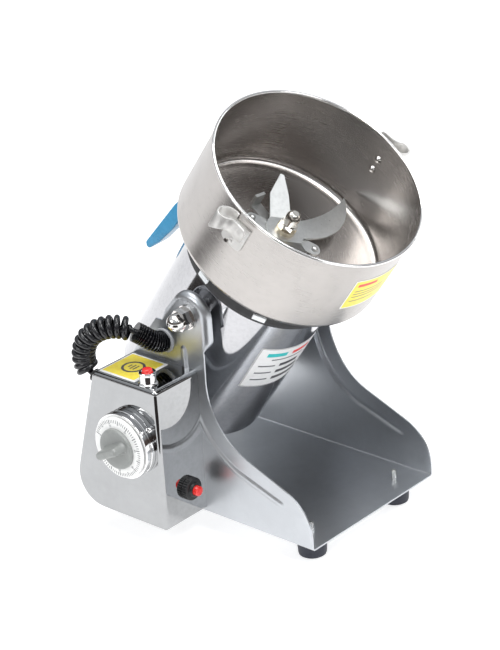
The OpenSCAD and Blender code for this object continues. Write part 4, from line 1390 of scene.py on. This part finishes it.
@dataclass
class Studio:
    """A pale floor, soft lights and the camera."""

    centre: Point = (-3.68, 1.82, 186.27)
    azimuth: float = -47.29
    elevation: float = 24.30
    roll: float = -3.76
    distance: float = 2292.48
    focal: float = 2365.42
    height_px: float = 650.0
    floor_glow: float = 0.70
    fill: float = 0.40
    lamps: tuple[tuple[str, Point, Point, Flat, float], ...] = (
        ("top softbox", (-0.2, 0.3, 2.6), (0, 0, 0.2), (1.5, 1.5), 34.0),
        ("left softbox", (-2.3, 0.5, 1.7), (0, 0, 0.25), (0.7, 1.5), 16.0),
        ("front softbox", (0.6, -2.6, 1.9), (0, 0, 0.25), (0.6, 1.4), 14.0),
        ("bowl softbox", (-0.5, -1.5, 2.5), (0, -0.08, 0.32), (0.9, 0.9), 30.0),
        ("right softbox", (2.4, -0.4, 1.5), (0, 0, 0.25), (0.6, 1.5), 12.0), )
    cards: tuple[tuple[str, tuple[Point, ...]], ...] = (
        ("front dark card", ((-0.46, 0.02, 0.001), (-0.17, -0.30, 0.001), (-0.80, -1.40, 0.001),
                             (-1.50, -0.50, 0.001))),
        ("rear dark card", ((-0.30, 0.72, 0.001), (-0.85, 0.22, 0.001), (-1.25, 0.62, 0.001),
                            (-0.60, 1.20, 0.001))), )

    def camera(self) -> None:
        """Set the camera at the viewing angle."""
        a, e, r = (radians(v) for v in (self.azimuth, self.elevation, self.roll))
        back = Vector((sin(a) * cos(e), -cos(a) * cos(e), sin(e)))
        x = Vector((0, 0, 1)).cross(back).normalized()
        y = back.cross(x)
        x, y = cos(r) * x + sin(r) * y, -sin(r) * x + cos(r) * y
        m = Matrix((x, y, back)).transposed().to_4x4()
        m.translation = (Vector(self.centre) + back * self.distance) * MM
        data = bpy.data.cameras.new("camera")
        data.sensor_fit, data.sensor_height, data.sensor_width = "VERTICAL", 36.0, 36.0
        data.lens = self.focal / self.height_px * 36.0
        data.clip_start, data.clip_end = 0.05, 30.0
        obj = bpy.data.objects.new("camera", data)
        obj.matrix_world = m
        bpy.context.scene.collection.objects.link(obj)
        bpy.context.scene.camera = obj
        LOG.info("camera at %s", tuple(round(v, 3) for v in m.translation))

    def lamp(self, name: str, at: Point, to: Point, size: Flat, power: float) -> None:
        """One soft box.

        Args:
            name: the lamp's name.
            at: its place, in metres.
            to: the point that it faces.
            size: its width and height.
            power: its power in watts.
        """
        data = bpy.data.lights.new(name, "AREA")
        data.shape, data.size, data.size_y, data.energy = "RECTANGLE", size[0], size[1], power
        obj = bpy.data.objects.new(name, data)
        obj.matrix_world = looking(at, Vector(at) - Vector(to), (0, 0, 1))
        bpy.context.scene.collection.objects.link(obj)
        LOG.info("lamp %s", name)

    def flat(self, name: str, finish: str, corners: Sequence[Point], colours: tuple[Colour, Colour],
             grain: Flat, rough: float, glow: dict[str, object]) -> Object:
        """A flat surface of the studio, in a colour that varies faintly.

        Args:
            name: its name.
            finish: its material's name.
            corners: its four corners, in metres.
            colours: the two colours that it varies between.
            grain: the scale and detail of that variation.
            rough: its roughness.
            glow: other constants of its shader.

        Returns:
            The object.
        """
        mesh = bpy.data.meshes.new(name)
        mesh.from_pydata(corners, [], [(0, 1, 2, 3)])
        mat, s, shader, at = start_material(finish, {"Roughness": rough, **glow})
        tone = s.mix(s.noise(at, grain[0], grain[1], 0.5), colours[0] + (1.0,), colours[1] + (1.0,))
        s.feed(shader, {"Base Color": tone})
        mesh.materials.append(mat)
        obj = bpy.data.objects.new(name, mesh)
        bpy.context.scene.collection.objects.link(obj)
        return obj

    def build(self) -> None:
        """Lay the floor, light it, and fill the surroundings."""
        bpy.context.scene.view_settings.view_transform = "Standard"
        self.flat("floor", "pale floor", [(-6, -6, 0), (6, -6, 0), (6, 6, 0), (-6, 6, 0)],
                  ((0.60, 0.60, 0.60), (0.62, 0.62, 0.62)), (40.0, 4.0), 0.9,
                  {"Specular IOR Level": 0.1, "Emission Color": (1.0, 1.0, 1.0, 1),
                   "Emission Strength": self.floor_glow})
        self._room()
        for lamp in self.lamps:
            self.lamp(*lamp)
        for name, corners in self.cards:
            card = self.flat(name, name, corners, ((0.012, 0.008, 0.007), (0.02, 0.013, 0.011)),
                             (3.0, 2.0), 1.0, {})
            card.visible_camera = card.visible_diffuse = card.visible_shadow = False
            LOG.info("card %s, seen by reflections only", name)

    def _room(self) -> None:
        """A pale room, darker towards the horizon where only reflections see it."""
        world = bpy.data.worlds.new("studio")
        bpy.context.scene.world = world
        world.use_nodes = True
        world.node_tree.nodes.clear()
        w = NodeSheet(world.node_tree)
        up = w.add("SeparateXYZ", {"Vector": w.add("TexCoord").outputs["Generated"]}).outputs["Z"]
        ramp = w.add("ValToRGB", {"Fac": up})
        low, high = ramp.color_ramp.elements
        low.position, low.color = 0.18, (0.085, 0.065, 0.058, 1)
        high.position, high.color = 0.95, (0.80, 0.82, 0.85, 1)
        ramp.color_ramp.elements.new(0.40).color = (0.38, 0.40, 0.42, 1)
        room = w.add("Background", {"Color": ramp.outputs[0], "Strength": 1.0})
        fill = w.add("Background", {"Color": (0.90, 0.93, 1.0, 1), "Strength": self.fill})
        white = w.add("Background", {"Color": (1, 1, 1, 1), "Strength": 1.0})
        path = w.add("LightPath")
        seen = w.add("MixShader", {"0": path.outputs["Is Glossy Ray"], "1": fill.outputs[0],
                                   "2": room.outputs[0]})
        last = w.add("MixShader", {"0": path.outputs["Is Camera Ray"], "1": seen.outputs[0],
                                   "2": white.outputs[0]})
        w.tree.links.new(last.outputs[0], w.add("OutputWorld").inputs["Surface"])


def main() -> None:
    """Build the scene in order: camera, cord, frame finishes, then each sub-assembly and the studio."""
    logging.basicConfig(level=logging.INFO, format="%(message)s")
    shop = Workshop()
    studio = Studio()
    studio.camera()
    shop.dress_frame()
    for part in (CurlyCord(), TrayStand(), ControlBox(), TimerDial(), PushButtons(), MotorUnit(),
                 GrindingBowl()):
        LOG.info("building %s", type(part).__name__)
        part.build(shop)
    studio.build()


if __name__ == "__main__":
    main()
